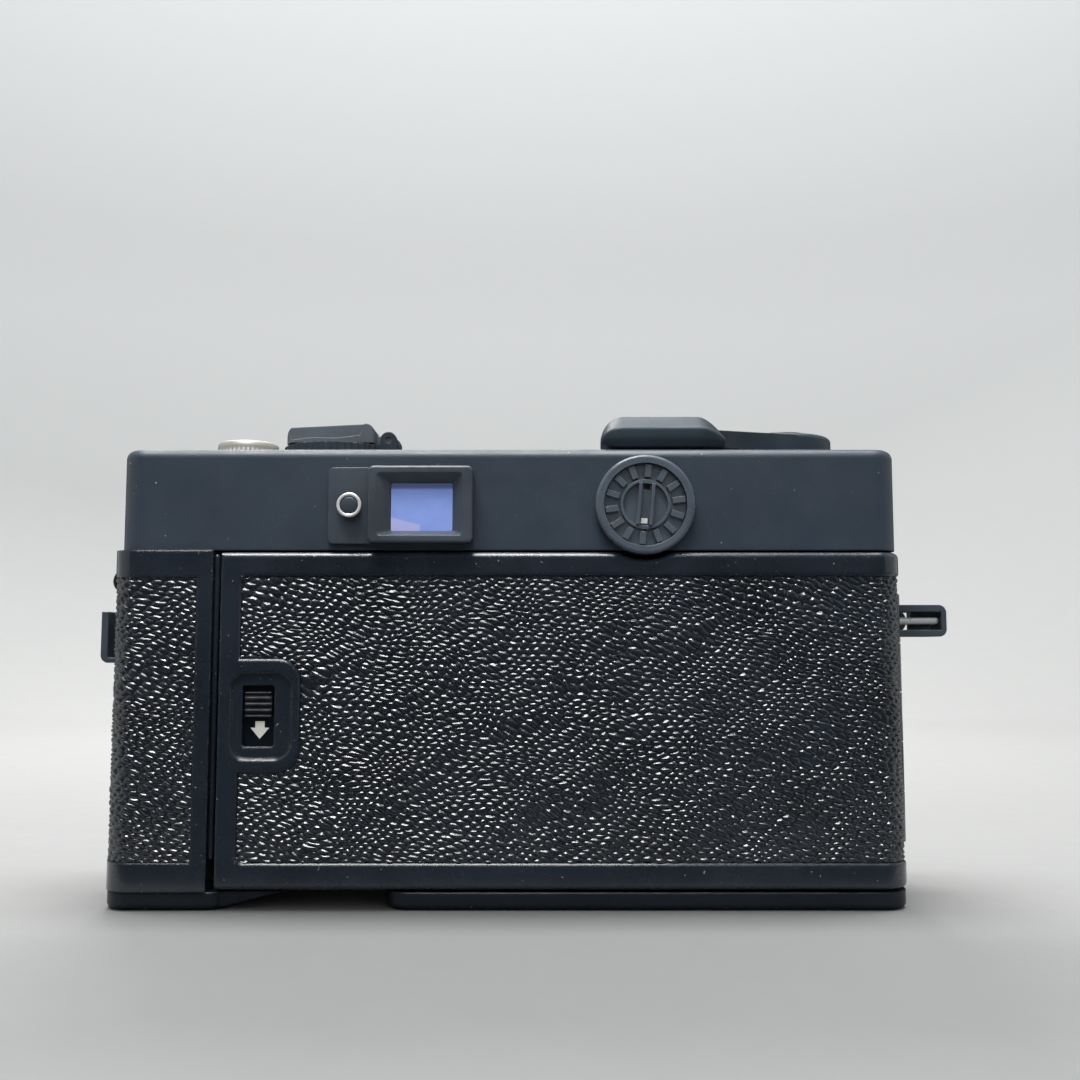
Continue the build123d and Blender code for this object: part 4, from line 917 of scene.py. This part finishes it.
# ---------------------------------------------------------- stage and lights
# Metres, watts and linear colours.
FLOOR_RADIUS = 0.42
BEND_RADIUS = 0.38
WALL_TOP = 1.3
FLOOR_TONE = (0.35, 0.349, 0.342)
WALL_TONE = (0.42, 0.421, 0.417)
TONE_CHANGE_HEIGHT = 0.3
WINDOW_WATTS = 5.4
TOP_WATTS = 2.9
ROOM_WATTS = 4.8
WALL_WATTS = 14.5
FAR_WALL_WATTS = 3.5
WORLD_STRENGTH = 0.27
LENS_LENGTH = 38.9
CAMERA_PLACE = (-0.0049, 0.1879, 0.038)
CAMERA_TILT = 5.2


def bowl():
    """A plain round floor that curves up into a wall on all sides, a little paler up there."""
    profile = [(0.0, 0.0), (0.15, 0.0), (0.3, 0.0), (FLOOR_RADIUS, 0.0)]
    bend_steps = 16
    for k in range(1, bend_steps + 1):
        a = math.pi / 2 * k / bend_steps
        profile.append((FLOOR_RADIUS + BEND_RADIUS * math.sin(a), BEND_RADIUS * (1 - math.cos(a))))
    profile.append((FLOOR_RADIUS + BEND_RADIUS, WALL_TOP))
    count = 96
    points = []
    for radius, height in profile:
        for k in range(count):
            a = 2 * math.pi * k / count
            points.append((radius * math.cos(a), radius * math.sin(a), height))
    faces = []
    for ring in range(len(profile) - 1):
        for k in range(count):
            a, b = ring * count + k, ring * count + (k + 1) % count
            faces.append((a, b, b + count, a + count))
    mesh = bpy.data.meshes.new("floor")
    mesh.from_pydata(points, [], faces)
    mesh.validate()
    mesh.polygons.foreach_set("use_smooth", [True] * len(mesh.polygons))
    floor = bpy.data.objects.new("floor", mesh)
    bpy.context.scene.collection.objects.link(floor)
    paper = surface(
        "pale_paper", FLOOR_TONE, (0.7, 0.85), specular=0.1, mottle=0.01, grain=(400.0, 0.02), edge=0.0
    )
    nodes, links = paper.node_tree.nodes, paper.node_tree.links
    colour = nodes["Principled BSDF"].inputs["Base Color"]
    flat_tone = colour.links[0].from_socket
    split = nodes.new("ShaderNodeSeparateXYZ")
    links.new(nodes.new("ShaderNodeTexCoord").outputs["Object"], split.inputs["Vector"])
    rise = ranged(nodes, links, split.outputs["Z"], 0.0, TONE_CHANGE_HEIGHT, 0.0, 1.0)
    links.new(mixed(nodes, links, rise, flat_tone, WALL_TONE), colour)
    mesh.materials.append(paper)
    return floor


def area_light(name, location, target, size, watts, colour):
    """A rectangular light that faces its target."""
    light = bpy.data.lights.new(name, "AREA")
    light.shape = "RECTANGLE"
    light.size, light.size_y = size
    light.energy = watts
    light.color = colour
    lamp = bpy.data.objects.new(name, light)
    lamp.location = location
    aim = target - lamp.location
    lamp.rotation_euler = aim.to_track_quat("-Z", "Y").to_euler()
    bpy.context.scene.collection.objects.link(lamp)
    return lamp


middle = (CAD_LOW + CAD_HIGH) / 2
floor = bowl()
window = area_light("window", (0.08, 0.22, 0.6), middle, (0.34, 0.16), WINDOW_WATTS, (1.0, 0.99, 0.98))
area_light("top", (0.08, -0.4, 0.44), middle, (0.4, 0.2), TOP_WATTS, (1.0, 0.99, 0.97))
# The window and room lights miss the floor, so that the floor in front stays in soft shadow.
spared = bpy.data.collections.new("spared_by_window")
spared.objects.link(floor)
spared.collection_objects[0].light_linking.link_state = "EXCLUDE"
window.light_linking.receiver_collection = spared
room = area_light("room", (-0.05, 0.7, 0.4), middle, (0.8, 0.6), ROOM_WATTS, (0.84, 0.92, 1.0))
room.visible_glossy = False
room.light_linking.receiver_collection = spared
wall_point = Vector((0.0, -0.8, 0.3))
area_light("wall", (0.0, -0.1, 1.0), wall_point, (0.9, 0.3), WALL_WATTS, (0.96, 0.98, 1.0))
area_light("far_wall", (0.0, 0.1, 1.0), -wall_point, (0.9, 0.3), FAR_WALL_WATTS, (0.96, 0.98, 1.0))


def dark_flag():
    """Bent black cards before and behind, seen only in reflections, so that glossy black stays black."""
    points, faces = [], []
    for side, near in ((1, 0.03), (-1, 0.06)):
        first = len(points)
        corners = [(near, 0.001), (0.4, 0.001), (0.4, 0.5)]
        points += [(x, side * y, z) for y, z in corners for x in (-0.5, 0.5)]
        faces += [tuple(first + v for v in face) for face in ((0, 1, 3, 2), (2, 3, 5, 4))]
    mesh = bpy.data.meshes.new("flag")
    mesh.from_pydata(points, [], faces)
    flag = bpy.data.objects.new("flag", mesh)
    bpy.context.scene.collection.objects.link(flag)
    mesh.materials.append(surface("flag_cloth", (0.012, 0.014, 0.018), (0.9, 1.0), specular=0.0, edge=0.0))
    flag.visible_camera = False
    flag.visible_diffuse = False
    flag.visible_shadow = False


dark_flag()

world = bpy.data.worlds.new("studio")
world.use_nodes = True
background = world.node_tree.nodes["Background"]
background.inputs["Color"].default_value = (0.9, 0.94, 1.0, 1.0)
background.inputs["Strength"].default_value = WORLD_STRENGTH
bpy.context.scene.world = world
bpy.context.scene.view_settings.view_transform = "Standard"

# The camera looks at the back of the object, a little upwards from near its middle height.
camera_data = bpy.data.cameras.new("camera")
camera_data.sensor_width = 36.0
camera_data.lens = LENS_LENGTH
camera_data.clip_start = 0.01
camera = bpy.data.objects.new("camera", camera_data)
camera.location = CAMERA_PLACE
camera.rotation_euler = (math.radians(90.0 + CAMERA_TILT), 0.0, math.pi)
bpy.context.scene.collection.objects.link(camera)
bpy.context.scene.camera = camera
